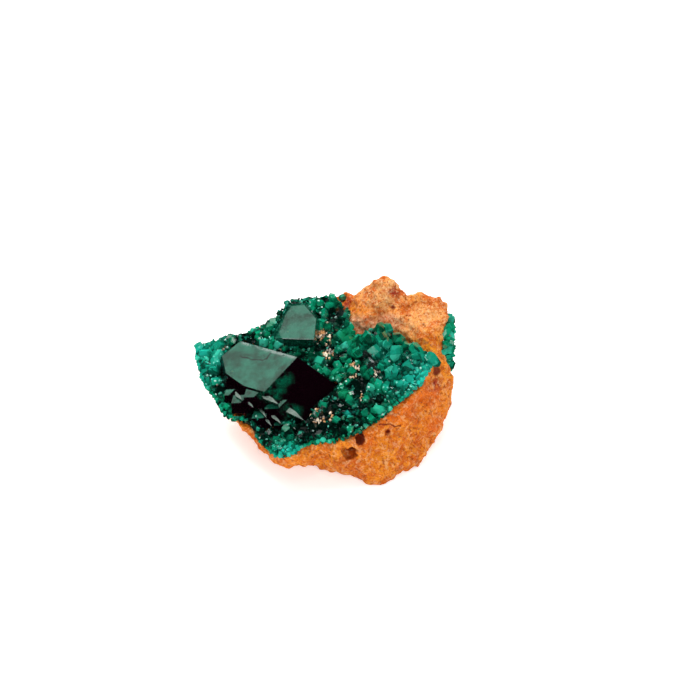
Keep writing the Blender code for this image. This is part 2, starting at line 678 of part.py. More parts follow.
def stray_crystal(rock_body):
    """The crystal that sits alone in its hollow by the rear edge."""
    x, rise, _, _ = SOCKET
    bottom, _ = facing_place(rock_body, x, rise)
    axis = Vector(STRAY_AXIS).normalized()
    tip = bottom + axis * STRAY_TIP
    made = crystal(tip, axis, STRAY_SPIN, STRAY_RADIUS, STRAY_LENGTH, "stray_crystal")
    made.data.materials.append(finish("stray emerald", (0.01, 0.2, 0.13), 0.15, 0.4))
    return made


def main():
    """Builds the specimen."""
    for old in list(bpy.data.objects):
        bpy.data.objects.remove(old, do_unlink=True)
    rock_body = rock()
    _, main_rooms = main_crystal()
    _, upper_room = upper_crystal()
    front_druse([*main_rooms, upper_room])
    side_druse()
    stray_crystal(rock_body)


main()
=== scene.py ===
"""Looks of a dioptase specimen on limonitic rock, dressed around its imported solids.

The rock is replaced by a finer, granular skin of itself. The crusts and the large crystals
get see-through emerald finishes, small crystals and pale grains grow between them, and a
soft studio light shows the flat faces. Lengths in the classes are in millimetres, and
(x, rise) pairs give a place as the viewer in front sees it, where rise is y + z.
"""

import logging
import math
from collections.abc import Callable, Sequence
from dataclasses import dataclass
from enum import Enum

import bmesh
import bpy
import numpy as np
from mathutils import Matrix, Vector, noise
from mathutils.bvhtree import BVHTree


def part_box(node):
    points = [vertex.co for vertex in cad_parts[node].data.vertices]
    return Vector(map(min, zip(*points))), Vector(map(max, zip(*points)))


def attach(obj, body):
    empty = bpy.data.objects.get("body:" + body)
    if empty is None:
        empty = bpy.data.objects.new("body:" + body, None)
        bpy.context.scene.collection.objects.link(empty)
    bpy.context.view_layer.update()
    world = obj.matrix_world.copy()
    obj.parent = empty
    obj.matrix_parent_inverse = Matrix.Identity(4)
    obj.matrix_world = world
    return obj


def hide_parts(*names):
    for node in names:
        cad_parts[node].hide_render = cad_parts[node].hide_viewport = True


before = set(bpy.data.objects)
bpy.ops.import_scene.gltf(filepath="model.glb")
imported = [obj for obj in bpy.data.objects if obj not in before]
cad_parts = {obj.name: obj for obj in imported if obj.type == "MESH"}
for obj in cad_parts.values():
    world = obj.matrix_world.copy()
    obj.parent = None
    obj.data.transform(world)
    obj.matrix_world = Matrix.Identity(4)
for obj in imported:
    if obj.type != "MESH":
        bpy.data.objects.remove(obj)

log = logging.getLogger("dioptase")

MM = 0.001
CENTRE_X = 0.12
CENTRE_Y = -0.23
BED_HEIGHT = 9.5
BED_RISE_X = 0.12
BED_RISE_Y = 0.20
UPPER_FOOT_LIFT = 1.2
DIOPTASE_IOR = 1.66
LARGE_PASSES = (0.01, 0.6, 0.4)
LARGE_DENSITY = 2200.0
# Settings that leave out the druse's painted shade.
NO_PAINTED_SHADE = {"gap_shade": 0.0, "low": -9.0, "high": -8.0}
SIGHT = 60
WELD = 1e-7
DENSEST = 3e7
PATCH_EDGE = 20.0
BODY = "root"

Object = bpy.types.Object
Material = bpy.types.Material
Node = bpy.types.Node
Tree = bpy.types.NodeTree
Outputs = bpy.types.bpy_prop_collection
Socket = bpy.types.NodeSocket
Builder = bmesh.types.BMesh
Place = tuple[float, float, float]
Pair = tuple[float, float]
Colour = tuple[float, float, float]
Spot = tuple[float, float, float, float]
Spots = tuple[Spot, ...]
Pairs = tuple[Pair, ...]
Value = Socket | float
Tint = Socket | Colour
Test = Callable[[float, float], bool]


class Slot(Enum):
    """Material slots."""

    ROCK = "limonitic_rock"
    DRUSE = "dioptase_druse"
    DARK = "dark_dioptase"
    GREY_GREEN = "grey_green_dioptase"


Piece = tuple[Object, Slot]


def point(x: float, y: float, z: float) -> Vector:
    """Place in millimetres as a vector in metres about the specimen's centre."""
    return Vector(((x - CENTRE_X) * MM, (y - CENTRE_Y) * MM, z * MM))


def bed_height(x: float, y: float) -> float:
    """Height of the bed under the druse, in millimetres."""
    return BED_HEIGHT + BED_RISE_X * x + BED_RISE_Y * y


def bed_place(x: float, rise: float, lift: float = 0.0) -> Place:
    """Place that stands above the bed at a given x and rise.

    Args:
        x: to the right.
        rise: y + z.
        lift: height above the bed.

    Returns:
        The place (x, y, z).
    """
    y = (rise - BED_HEIGHT - BED_RISE_X * x - lift) / (1.0 + BED_RISE_Y)
    return x, y, rise - y


def on_bed(outline: Sequence[Pair], lift: float = 0.0) -> list[Pair]:
    """Outline of (x, rise) pairs as (x, y) pairs of places above the bed."""
    return [bed_place(x, rise, lift)[:2] for x, rise in outline]


def sides(outline: Sequence) -> zip:
    """Each corner of an outline with the next one, round to the first."""
    return zip(outline, outline[1:] + outline[:1])


def inside(outline: Sequence[Pair], x: float, y: float) -> bool:
    """Whether a place lies inside an outline.

    Args:
        outline: corners of the outline.
        x: first coordinate.
        y: second coordinate.

    Returns:
        True inside.
    """
    found = False
    for (ax, ay), (bx, by) in sides(outline):
        if (ay > y) != (by > y) and x < (bx - ax) * (y - ay) / (by - ay) + ax:
            found = not found
    return found


def seen_place(made: Object, x: float, rise: float) -> Place | None:
    """Place on an object's near side at a given x and rise.

    Args:
        made: the object.
        x: to the right.
        rise: y + z.

    Returns:
        The place (x, y, z) in millimetres, or None beside the object.
    """
    tree = BVHTree.FromObject(made, bpy.context.evaluated_depsgraph_get())
    toward = Vector((0.0, -1.0, 1.0)).normalized()
    hit = tree.ray_cast(point(x, rise / 2, rise / 2) + toward * SIGHT * MM, -toward)[0]
    if hit is None:
        return None
    return x, hit.y / MM + CENTRE_Y, hit.z / MM


def linked(name: str, data: bpy.types.ID) -> Object:
    """Object of a mesh, light or camera, linked to the scene."""
    made = bpy.data.objects.new(name, data)
    bpy.context.scene.collection.objects.link(made)
    return made


def from_builder(name: str, builder: Builder, outward: bool = True) -> Object:
    """Turns a bmesh into a linked object and frees it.

    Args:
        name: the object's name.
        builder: the bmesh.
        outward: whether the faces are turned outward first.

    Returns:
        The object.
    """
    if outward:
        bmesh.ops.recalc_face_normals(builder, faces=builder.faces)
    mesh = bpy.data.meshes.new(name)
    builder.to_mesh(mesh)
    builder.free()
    return linked(name, mesh)


def one_sided(name: str, builder: Builder, axis: int) -> Object:
    """Turns an open bmesh into an object whose faces all look up one axis.

    Args:
        name: the object's name.
        builder: the bmesh.
        axis: 0 for x, 2 for z.

    Returns:
        The object.
    """
    bmesh.ops.recalc_face_normals(builder, faces=builder.faces)
    for face in builder.faces:
        if face.normal[axis] < 0:
            face.normal_flip()
    return from_builder(name, builder, outward=False)


def baked(made: Object) -> None:
    """Applies an object's modifiers to its mesh."""
    graph = bpy.context.evaluated_depsgraph_get()
    mesh = bpy.data.meshes.new_from_object(made.evaluated_get(graph))
    made.modifiers.clear()
    made.data = mesh


def merged_copy(node: str, name: str) -> Object:
    """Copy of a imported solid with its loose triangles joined.

    Args:
        node: the solid's name.
        name: the copy's name.

    Returns:
        The copy.
    """
    builder = bmesh.new()
    builder.from_mesh(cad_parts[node].data)
    bmesh.ops.remove_doubles(builder, verts=builder.verts, dist=WELD)
    made = from_builder(name, builder, outward=False)
    made.data.materials.clear()
    return made


def dress(node: str, finish: Material) -> None:
    """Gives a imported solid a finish."""
    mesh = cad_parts[node].data
    mesh.materials.clear()
    mesh.materials.append(finish)


def put(tree: Tree, kind: str, inputs: dict, **settings: object) -> Node:
    """Adds a node to a tree and fills its inputs.

    Args:
        tree: the node tree.
        kind: the node's type.
        inputs: a socket to link or a value to set, by the input's name or index.
        settings: properties of the node.

    Returns:
        The node.
    """
    made = tree.nodes.new(kind)
    for key, value in settings.items():
        setattr(made, key, value)
    for key, value in inputs.items():
        if isinstance(value, Socket):
            tree.links.new(value, made.inputs[key])
        else:
            made.inputs[key].default_value = value
    return made


class Shader:
    """Short way to build a material's nodes. A value is a socket or a number."""

    def __init__(self, name: str) -> None:
        """Starts a material with a Principled shader.

        Args:
            name: the material's name.
        """
        self.material = bpy.data.materials.new(name)
        self.material.use_nodes = True
        self.tree = self.material.node_tree
        self.main = self.tree.nodes["Principled BSDF"]
        coordinates = self.node("TexCoord", {})
        self.place = coordinates.outputs["Object"]
        self.normal = coordinates.outputs["Normal"]
        self.flat = None
        self.edge = None
        self.front = None

    def node(self, kind: str, inputs: dict, **settings: object) -> Node:
        """Adds a shader node: see put()."""
        return put(self.tree, f"ShaderNode{kind}", inputs, **settings)

    def set(self, **values: object) -> None:
        """Sets the main shader's own sockets; an underscore stands for a space."""
        for key, value in values.items():
            self.main.inputs[key.replace("_", " ")].default_value = value

    def colour(self, base: Socket) -> None:
        """Links the main shader's colour."""
        self.tree.links.new(base, self.main.inputs["Base Color"])

    def math(self, operation: str, first: Value, second: Value) -> Socket:
        """Arithmetic on two values."""
        return self.node("Math", {0: first, 1: second}, operation=operation).outputs[0]

    def times(self, first: Value, second: Value) -> Socket:
        """Product of two values."""
        return self.math("MULTIPLY", first, second)

    def plus(self, first: Value, second: Value) -> Socket:
        """Sum of two values."""
        return self.math("ADD", first, second)

    def minus(self, first: Value, second: Value) -> Socket:
        """Difference of two values."""
        return self.math("SUBTRACT", first, second)

    def vector(self, operation: str, inputs: dict) -> Node:
        """Adds a vector arithmetic node."""
        return self.node("VectorMath", inputs, operation=operation)

    def noise(self, size: float, detail: float = 2.0, rough: float = 0.5) -> Socket:
        """Noise whose lumps are about size millimetres.

        Args:
            size: lump size in millimetres.
            detail: octaves.
            rough: weight of the finer octaves.

        Returns:
            The factor socket.
        """
        made = self.node("TexNoise", {
            "Vector": self.place, "Scale": 1.0 / (size * MM), "Detail": detail, "Roughness": rough,
        })
        return made.outputs["Fac"]

    def cells(self, size: float) -> Node:
        """Voronoi cells of about size millimetres."""
        return self.node("TexVoronoi", {"Vector": self.place, "Scale": 1.0 / (size * MM)})

    def fit(self, source: Socket, low: float, high: float,
            to_low: float = 0.0, to_high: float = 1.0) -> Socket:
        """Maps a range of a value smoothly to another, held at both ends.

        Args:
            source: the value.
            low: start of the range.
            high: end of the range.
            to_low: result at the start.
            to_high: result at the end.

        Returns:
            The mapped value.
        """
        made = self.node("MapRange", {
            "Value": source, "From Min": low, "From Max": high, "To Min": to_low, "To Max": to_high,
        }, interpolation_type="SMOOTHSTEP")
        return made.outputs["Result"]

    def patches(self, size: float, detail: float, rough: float, low: float, high: float) -> Socket:
        """One in patches where noise is above high, nought where it is below low."""
        return self.fit(self.noise(size, detail, rough), low, high)

    def dots(self, size: float, inner: float, outer: float) -> Socket:
        """One in small dots, one to a cell of about size millimetres."""
        return self.fit(self.cells(size).outputs["Distance"], inner, outer, 1.0, 0.0)

    def held(self, source: Socket) -> Socket:
        """Holds a value between nought and one."""
        return self.node("Clamp", {"Value": source}).outputs["Result"]

    def seen(self) -> Socket:
        """Object coordinates flattened to (x, rise, 0) about the specimen's own centre."""
        if self.flat is None:
            split = self.node("SeparateXYZ", {0: self.place})
            rise = self.plus(split.outputs["Y"], split.outputs["Z"])
            self.flat = self.node("CombineXYZ", {"X": split.outputs["X"], "Y": rise}).outputs[0]
        return self.flat

    def facing(self) -> Socket:
        """One where the surface faces the front, nought on its sides and back."""
        if self.front is None:
            toward = (0.0, -math.sqrt(0.5), math.sqrt(0.5))
            turned = self.vector("DOT_PRODUCT", {0: self.normal, 1: toward})
            self.front = self.fit(turned.outputs["Value"], 0.05, 0.3)
        return self.front

    def edge_noise(self) -> Socket:
        """Noise around nought that makes the edges of spots uneven."""
        if self.edge is None:
            self.edge = self.minus(self.noise(0.8, 3.0, 0.6), 0.5)
        return self.edge

    def around(self, place: Socket, centre: Sequence[float], inner: float, outer: float,
               uneven: float) -> Socket:
        """One around a place, falling to nought away from it, with an uneven edge.

        Args:
            place: coordinates to measure in.
            centre: the place in metres.
            inner: distance up to which it is one, in millimetres.
            outer: distance from which it is nought.
            uneven: share of the outer distance that the edge wanders.

        Returns:
            The factor.
        """
        made = self.vector("DISTANCE", {0: place, 1: centre})
        wander = self.times(self.edge_noise(), uneven * outer * MM)
        away = self.plus(made.outputs["Value"], wander)
        return self.fit(away, inner * MM, outer * MM, 1.0, 0.0)

    def near(self, centre: Place, inner: float, outer: float) -> Socket:
        """One close to a place (x, y, z) in millimetres, nought away from it."""
        return self.around(self.place, point(*centre), inner, outer, 1.2)

    def spot(self, x: float, rise: float, inner: float, outer: float) -> Socket:
        """One around a place given by x and rise, nought away from it."""
        centre = ((x - CENTRE_X) * MM, (rise - CENTRE_Y) * MM, 0.0)
        return self.around(self.seen(), centre, inner, outer, 0.7)

    def spots(self, places: Spots, front_only: bool = False) -> Socket:
        """One around any of several places, falling to nought away from them.

        Args:
            places: x, rise, inner and outer distance of each.
            front_only: whether surfaces that face another way are left out.

        Returns:
            The factor.
        """
        found = self.spot(*places[0])
        for place in places[1:]:
            found = self.math("MAXIMUM", found, self.spot(*place))
        return self.times(found, self.facing()) if front_only else found

    def line(self, points: Pairs, width: float) -> Socket:
        """One on a thin line, shaken by noise, through places (x, rise), nought off it.

        Args:
            points: the line's places.
            width: its width in millimetres.

        Returns:
            The factor.
        """
        lump = 0.9
        reach = 1.1
        shake = self.node("TexNoise", {"Vector": self.place, "Scale": 1.0 / (lump * MM), "Detail": 4.0})
        shift = self.vector("MULTIPLY_ADD", {
            0: shake.outputs["Color"], 1: (reach * MM, reach * MM, 0.0), 2: self.seen(),
        }).outputs[0]
        found = 0.0
        for (ax, ay), (bx, by) in zip(points, points[1:]):
            start = ((ax - CENTRE_X + reach / 2) * MM, (ay - CENTRE_Y + reach / 2) * MM, 0.0)
            run = Vector(((bx - ax) * MM, (by - ay) * MM, 0.0))
            away = self.vector("SUBTRACT", {0: shift, 1: start}).outputs[0]
            along = self.vector("DOT_PRODUCT", {0: away, 1: run / run.length_squared})
            share = self.held(along.outputs["Value"])
            foot = self.vector("SCALE", {0: run, "Scale": share}).outputs[0]
            off = self.vector("DISTANCE", {0: away, 1: foot}).outputs["Value"]
            close = self.fit(off, 0.25 * width * MM, 0.6 * width * MM, 1.0, 0.0)
            found = self.math("MAXIMUM", found, close)
        return self.times(found, self.facing())

    def lift(self, low: float, high: float) -> Socket:
        """Nought at one height above the bed, in millimetres, one at another."""
        above = self.vector("DOT_PRODUCT", {0: self.place, 1: (-BED_RISE_X, -BED_RISE_Y, 1.0)})
        level = bed_height(CENTRE_X, CENTRE_Y)
        return self.fit(above.outputs["Value"], (level + low) * MM, (level + high) * MM)

    def mix(self, factor: Value, first: Tint, second: Tint) -> Socket:
        """Mixes two colours.

        Args:
            factor: how much of the second, a value.
            first: socket or RGB colour.
            second: socket or RGB colour.

        Returns:
            The colour.
        """
        inputs = {0: factor, 6: first, 7: second}
        for key, value in inputs.items():
            if isinstance(value, tuple):
                inputs[key] = (*value, 1.0)
        return self.node("Mix", inputs, data_type="RGBA", blend_type="MIX").outputs[2]

    def over(self, base: Tint, mask: Socket, strength: Value, colour: Colour) -> Socket:
        """Lays a colour over the one so far, where the mask is one and as thick as strength."""
        return self.mix(self.times(mask, strength), base, colour)

    def bump(self, height: Socket, depth: float, strength: float) -> None:
        """Adds relief to the main shader, its depth in millimetres."""
        made = self.node("Bump", {"Height": height, "Distance": depth * MM, "Strength": strength})
        self.tree.links.new(made.outputs["Normal"], self.main.inputs["Normal"])

    def absorb(self, colour: Colour, density: float) -> None:
        """Gives the inside a plain absorption: the colour that passes best, and how dense per metre."""
        made = self.node("VolumeAbsorption", {"Color": (*colour, 1.0), "Density": density})
        self.tree.links.new(made.outputs[0], self.tree.nodes["Material Output"].inputs["Volume"])


@dataclass(frozen=True)
class RockFinish:
    """Granular limonite: orange ochre, tan, pink and dark red-brown, partly painted light and shade."""

    ochre: Colour = (0.84, 0.24, 0.012)
    orange: Colour = (0.92, 0.31, 0.022)
    tan: Colour = (0.98, 0.49, 0.18)
    rust: Colour = (0.62, 0.10, 0.006)
    deep: Colour = (0.36, 0.06, 0.008)
    warm: Colour = (0.82, 0.15, 0.008)
    pink: Colour = (0.97, 0.58, 0.36)
    pale: Colour = (1.0, 0.66, 0.34)
    red: Colour = (0.36, 0.035, 0.014)
    brown: Colour = (0.15, 0.010, 0.004)
    # Upper places in tan: partly the rock's own tan, partly painted light from above.
    tan_and_light_places: Spots = ((8.0, 25.0, 2.0, 6.0), (14.5, 20.5, 1.0, 5.0), (11.5, 18.0, 1.0, 4.0))
    # Pale pink band by the druse, kept light to offset the shade it lies in: partly its own colour, partly
    # painted light.
    pink_and_light_places: Spots = ((5.6, 17.6, 1.2, 3.2), (8.6, 18.6, 1.0, 2.6), (3.8, 18.5, 0.8, 2.4))
    warm_places: Spots = (
        (9.6, 1.8, 1.5, 4.0), (5.0, -3.0, 1.0, 3.0), (13.8, 4.6, 1.0, 3.6), (15.6, -1.0, 0.5, 3.0),
    )
    red_places: Spots = ((9.5, 24.9, 0.4, 1.8), (2.6, 22.5, 1.0, 2.1), (15.0, 6.6, 0.3, 2.2))
    # Deep pits, dark red-brown inside: partly the rock's colour, partly painted shade.
    shaded_pits: Spots = (
        (4.8, -3.9, 0.8, 1.25), (15.4, 9.3, 0.5, 1.0), (9.4, 21.8, 0.2, 0.5), (8.6, -2.4, 0.1, 0.5),
        (3.5, -5.6, 0.0, 0.9),
    )
    crack: Pairs = ((7.5, -1.2), (9.0, -1.0), (9.6, -1.5), (10.4, -1.3))

    def material(self, skin: Object) -> Material:
        """Builds the material.

        Args:
            skin: the rock, which tells how deep each pit lies.

        Returns:
            The material.
        """
        shader = Shader("limonitic rock")
        base = shader.mix(shader.patches(4.0, 4.0, 0.6, 0.38, 0.62), self.ochre, self.orange)
        # The tan top is partly painted light. The fine pale specks are partly pale grains and partly
        # painted highlights, thickest on that top.
        top = shader.spots(self.tan_and_light_places, True)
        speck_highlight = shader.plus(shader.times(top, 0.45), 0.16)
        holes = shader.times(shader.dots(0.7, 0.08, 0.22), shader.patches(1.3, 2.0, 0.5, 0.5, 0.58))
        layers = [
            (top, 0.65, self.tan),
            # Pink band, lightened as painted light against its shade.
            (shader.spots(self.pink_and_light_places, True), 0.75, self.pink),
            (shader.patches(2.2, 6.0, 0.75, 0.46, 0.58), 0.8, self.rust),
            (shader.spots(self.warm_places, True), 0.7, self.warm),
            (shader.spots(self.red_places, True), shader.patches(1.1, 3.0, 0.5, 0.36, 0.56), self.red),
            (shader.patches(0.8, 3.0, 0.65, 0.5, 0.66), 0.4, self.pale),
            (shader.patches(0.7, 5.0, 0.75, 0.54, 0.61), 0.75, self.deep),
            (shader.patches(0.34, 4.0, 0.7, 0.5, 0.58), 0.7, self.rust),
            (shader.patches(0.27, 3.0, 0.6, 0.54, 0.62), speck_highlight, self.pale),
            (holes, 0.6, self.brown),
            # Painted shade in the small pits, darker the deeper they lie.
            (shader.node("Attribute", {}, attribute_name="pit_shade").outputs["Fac"], 0.85, self.brown),
        ]
        # Painted shade, with the rock's dark red-brown, inside the deep pits.
        for x, rise, inner, outer in self.shaded_pits:
            layers.append((shader.near(seen_place(skin, x, rise), inner, outer), 0.92, self.brown))
        layers.append((shader.line(self.crack, 0.28), 0.8, self.brown))
        for mask, strength, colour in layers:
            base = shader.over(base, mask, strength, colour)
        shader.colour(base)
        relief = shader.minus(shader.noise(0.6, 6.0, 0.8), shader.times(holes, 0.5))
        shader.bump(relief, 0.45, 1.0)
        shader.set(Roughness=0.85, Specular_IOR_Level=0.15)
        return shader.material


@dataclass(frozen=True)
class DruseFinish:
    """See-through emerald to teal of the small crystals, with painted shade near black deep down
    between them.

    The painted shade turns them from dark at a height low above the bed to light at high, and
    darkens them still more in the gaps, where it stands for both shade and dark crystals, as much
    as the gap setting says. Grown ones have their tone from the node tree.
    """

    name: str = "dioptase druse"
    teal: Colour = (0.012, 0.44, 0.30)
    emerald: Colour = (0.002, 0.32, 0.135)
    # pale: painted glint colour, for the crystals of highest tone.
    pale: Colour = (0.06, 0.70, 0.48)
    # dark: colour of the dark crystals and of the painted shade.
    dark: Colour = (0.001, 0.012, 0.008)
    # Aqua, painted as highlights.
    aqua_highlight: Colour = (0.02, 0.66, 0.50)
    vivid: Colour = (0.008, 0.34, 0.15)
    teal_ends: Spots = (
        (-17.5, 11.0, 3.0, 6.5), (13.0, 8.0, 3.0, 7.5), (-5.0, -6.5, 1.0, 3.5), (8.0, 13.0, 0.5, 4.0),
    )
    vivid_places: Spots = ((3.1, 16.2, 0.8, 1.5), (2.6, 4.7, 0.8, 1.5))
    # Places of the painted aqua highlights.
    aqua_highlight_places: Spots = (
        (12.6, 8.0, 0.8, 3.0), (-17.2, 13.0, 0.3, 1.4), (-5.0, -5.8, 0.3, 1.6), (3.4, 1.4, 0.3, 1.2),
    )
    transmission: float = 0.45
    # low and high: heights above the bed over which the painted shade lifts.
    low: float = 0.95
    high: float = 2.1
    grown: bool = False
    # How strong the painted shade in the gaps is.
    gap_shade: float = 1.0
    # Gaps darkened by painted shade, with dark crystals in them too.
    gaps: Spots = (
        (-7.6, 1.2, 3.0, 5.0), (-0.4, 0.2, 2.0, 3.6), (2.0, 3.0, 1.2, 2.6), (4.6, 6.0, 1.0, 2.4),
        (0.9, 20.3, 0.8, 2.4), (-13.5, 9.6, 0.9, 1.8), (5.9, 12.0, 0.5, 1.4), (-11.0, 15.6, 0.6, 2.0),
        (8.6, 9.4, 0.7, 2.0), (9.6, 13.0, 0.3, 1.4), (7.0, 4.0, 0.4, 1.6), (-2.2, -2.6, 0.5, 1.8),
        (1.2, 10.6, 0.4, 1.3), (6.6, 9.6, 0.3, 1.4), (10.6, 10.6, 0.2, 1.2), (5.2, 2.2, 0.3, 1.3),
        (-14.8, 5.6, 0.3, 1.4), (2.6, 12.6, 0.2, 1.1), (-4.4, -1.2, 1.5, 2.7),
    )

    def tone(self, shader: Shader) -> Socket:
        """Value that differs from crystal to crystal."""
        if self.grown:
            return shader.node("Attribute", {}, attribute_name="tone").outputs["Fac"]
        return shader.node("SeparateColor", {"Color": shader.cells(1.1).outputs["Color"]}).outputs["Red"]

    def shade(self, shader: Shader, tone: Socket, ends: Socket, clear: Socket) -> Socket:
        """Painted shade: nought where a crystal is painted near black, one where it shows its colour.

        Args:
            shader: the material's nodes.
            tone: value of the crystal.
            ends: one at the lighter ends of the crust.
            clear: one on the single crystals that stay clear.

        Returns:
            The factor.
        """
        # Painted shade: dark deep down near the bed, in low noise patches and in the gaps.
        patch = shader.patches(1.9, 3.0, 0.6, 0.4, 0.56)
        shade = shader.plus(shader.times(shader.lift(self.low, self.high), 0.8), shader.times(ends, 0.5))
        shade = shader.minus(shader.plus(shade, shader.times(patch, 0.5)), 0.15)
        gaps = shader.times(shader.spots(self.gaps), self.gap_shade)
        spared = shader.fit(tone, 0.66, 0.86, 1.0, 0.2)
        return shader.plus(shader.minus(shade, shader.times(gaps, spared)), clear)

    def material(self) -> Material:
        """Builds the material.

        Returns:
            The material.
        """
        shader = Shader(self.name)
        tone = self.tone(shader)
        ends = shader.spots(self.teal_ends)
        light = shader.plus(shader.times(ends, 0.7), shader.times(tone, 0.35))
        base = shader.mix(light, self.emerald, self.teal)
        # Painted aqua highlights on the crystals of higher tone.
        base = shader.over(base, shader.spots(self.aqua_highlight_places), shader.fit(tone, 0.1, 0.6), self.aqua_highlight)
        dim = shader.mix(0.75, base, self.dark)
        base = shader.mix(shader.fit(tone, 0.05, 0.45, 1.0, 0.0), base, dim)
        # Painted glints: the crystals of highest tone turn pale.
        base = shader.mix(shader.fit(tone, 0.86, 0.98, 0.0, 0.8), base, self.pale)
        clear = shader.spots(self.vivid_places)
        base = shader.mix(clear, base, self.vivid)
        shade = self.shade(shader, tone, ends, clear)
        # The painted shade laid over the colour.
        shader.colour(shader.mix(shader.held(shade), self.dark, base))
        shader.bump(shader.noise(0.22 if self.grown else 0.5, 4.0, 0.65), 0.03, 0.45)
        shader.set(Roughness=0.07, IOR=DIOPTASE_IOR, Transmission_Weight=self.transmission)
        shader.absorb((0.04, 0.8, 0.55), 700.0)
        return shader.material


@dataclass(frozen=True)
class DarkFinish:
    """Deep emerald that turns black where the crystal is thick, with shining faces."""

    name: str = "dark dioptase"
    colour: Colour = (0.010, 0.001, 0.005)
    edge: Colour = (0.002, 0.30, 0.15)
    # Light grey lines along the steps of the main crystal: painted reflection.
    streak_highlight: Colour = (0.35, 0.45, 0.42)
    edge_places: Spots = ((-7.4, 5.4, 0.8, 2.6), (-6.0, 7.6, 0.4, 2.2), (-4.6, 1.4, 0.3, 2.0))
    long_highlight: Pairs = ((-3.2, 12.0), (2.0, 6.6))
    short_highlight: Pairs = ((-2.2, 11.6), (0.6, 8.4))

    def material(self) -> Material:
        """Builds the material.

        Returns:
            The material.
        """
        shader = Shader(self.name)
        cloud = shader.patches(1.3, 4.0, 0.6, 0.35, 0.62)
        base = shader.over(self.colour, shader.spots(self.edge_places), cloud, self.edge)
        # Painted reflection along the steps.
        long = shader.line(self.long_highlight, 0.22)
        highlight_lines = shader.math("MAXIMUM", long, shader.line(self.short_highlight, 0.14))
        shader.colour(shader.over(base, highlight_lines, 0.35, self.streak_highlight))
        relief = shader.plus(shader.noise(0.5, 4.0, 0.6), shader.times(shader.noise(1.6), 1.2))
        shader.bump(relief, 0.02, 0.25)
        shader.set(Roughness=0.08, IOR=DIOPTASE_IOR, Transmission_Weight=0.75)
        shader.absorb(LARGE_PASSES, LARGE_DENSITY)
        return shader.material


@dataclass(frozen=True)
class GreyFinish:
    """Grey-green of the large faces that lie towards the light, lighter than the rest as painted sheen."""

    name: str = "grey-green dioptase"
    colour: Colour = (0.002, 0.07, 0.035)
    cloudy: Colour = (0.02, 0.28, 0.17)
    fleck: Colour = (0.10, 0.36, 0.26)
    dot: Colour = (0.003, 0.03, 0.02)
    pale_strip: Colour = (0.42, 0.55, 0.50)
    inside_crack: Colour = (0.001, 0.01, 0.007)
    speck: float = 0.0
    crack: Pairs = ()
    strip: Pairs = ()

    def material(self) -> Material:
        """Builds the material, with specks, a pale strip and a crack where they are given.

        Returns:
            The material.
        """
        shader = Shader(self.name)
        base = shader.mix(shader.patches(2.6, 5.0, 0.65, 0.34, 0.64), self.colour, self.cloudy)
        if self.speck:
            base = shader.over(base, shader.patches(0.3, 4.0, 0.75, 0.52, 0.66), self.speck, self.fleck)
            base = shader.over(base, shader.dots(0.8, 0.06, 0.16), 0.6, self.dot)
        # A pale, patchy strip along an edge.
        if self.strip:
            patchy = shader.times(shader.line(self.strip, 1.5), shader.patches(0.8, 3.0, 0.5, 0.36, 0.5))
            base = shader.over(base, patchy, 0.8, self.pale_strip)
        if self.crack:
            base = shader.mix(shader.line(self.crack, 0.26), base, self.inside_crack)
        shader.colour(base)
        relief = shader.plus(shader.noise(0.35, 4.0, 0.65), shader.times(shader.noise(1.6), 1.5))
        shader.bump(relief, 0.02 + 0.03 * self.speck, 0.3)
        shader.set(Roughness=0.14, IOR=DIOPTASE_IOR, Transmission_Weight=0.6)
        shader.absorb(LARGE_PASSES, LARGE_DENSITY)
        return shader.material


@dataclass(frozen=True)
class GrainFinish:
    """Pale tan and white grains of limonite and quartz between the crystals."""

    tan: Colour = (0.62, 0.30, 0.12)
    white: Colour = (0.85, 0.74, 0.58)
    grey: Colour = (0.30, 0.26, 0.22)

    def material(self) -> Material:
        """Builds the material.

        Returns:
            The material.
        """
        shader = Shader("pale grains")
        tone = shader.node("SeparateColor", {"Color": shader.cells(0.5).outputs["Color"]}).outputs
        base = shader.mix(shader.fit(tone["Red"], 0.2, 0.8), self.tan, self.white)
        shader.colour(shader.mix(shader.fit(tone["Green"], 0.6, 0.9), base, self.grey))
        shader.bump(shader.noise(0.15, 3.0), 0.05, 0.6)
        shader.set(Roughness=0.7)
        return shader.material


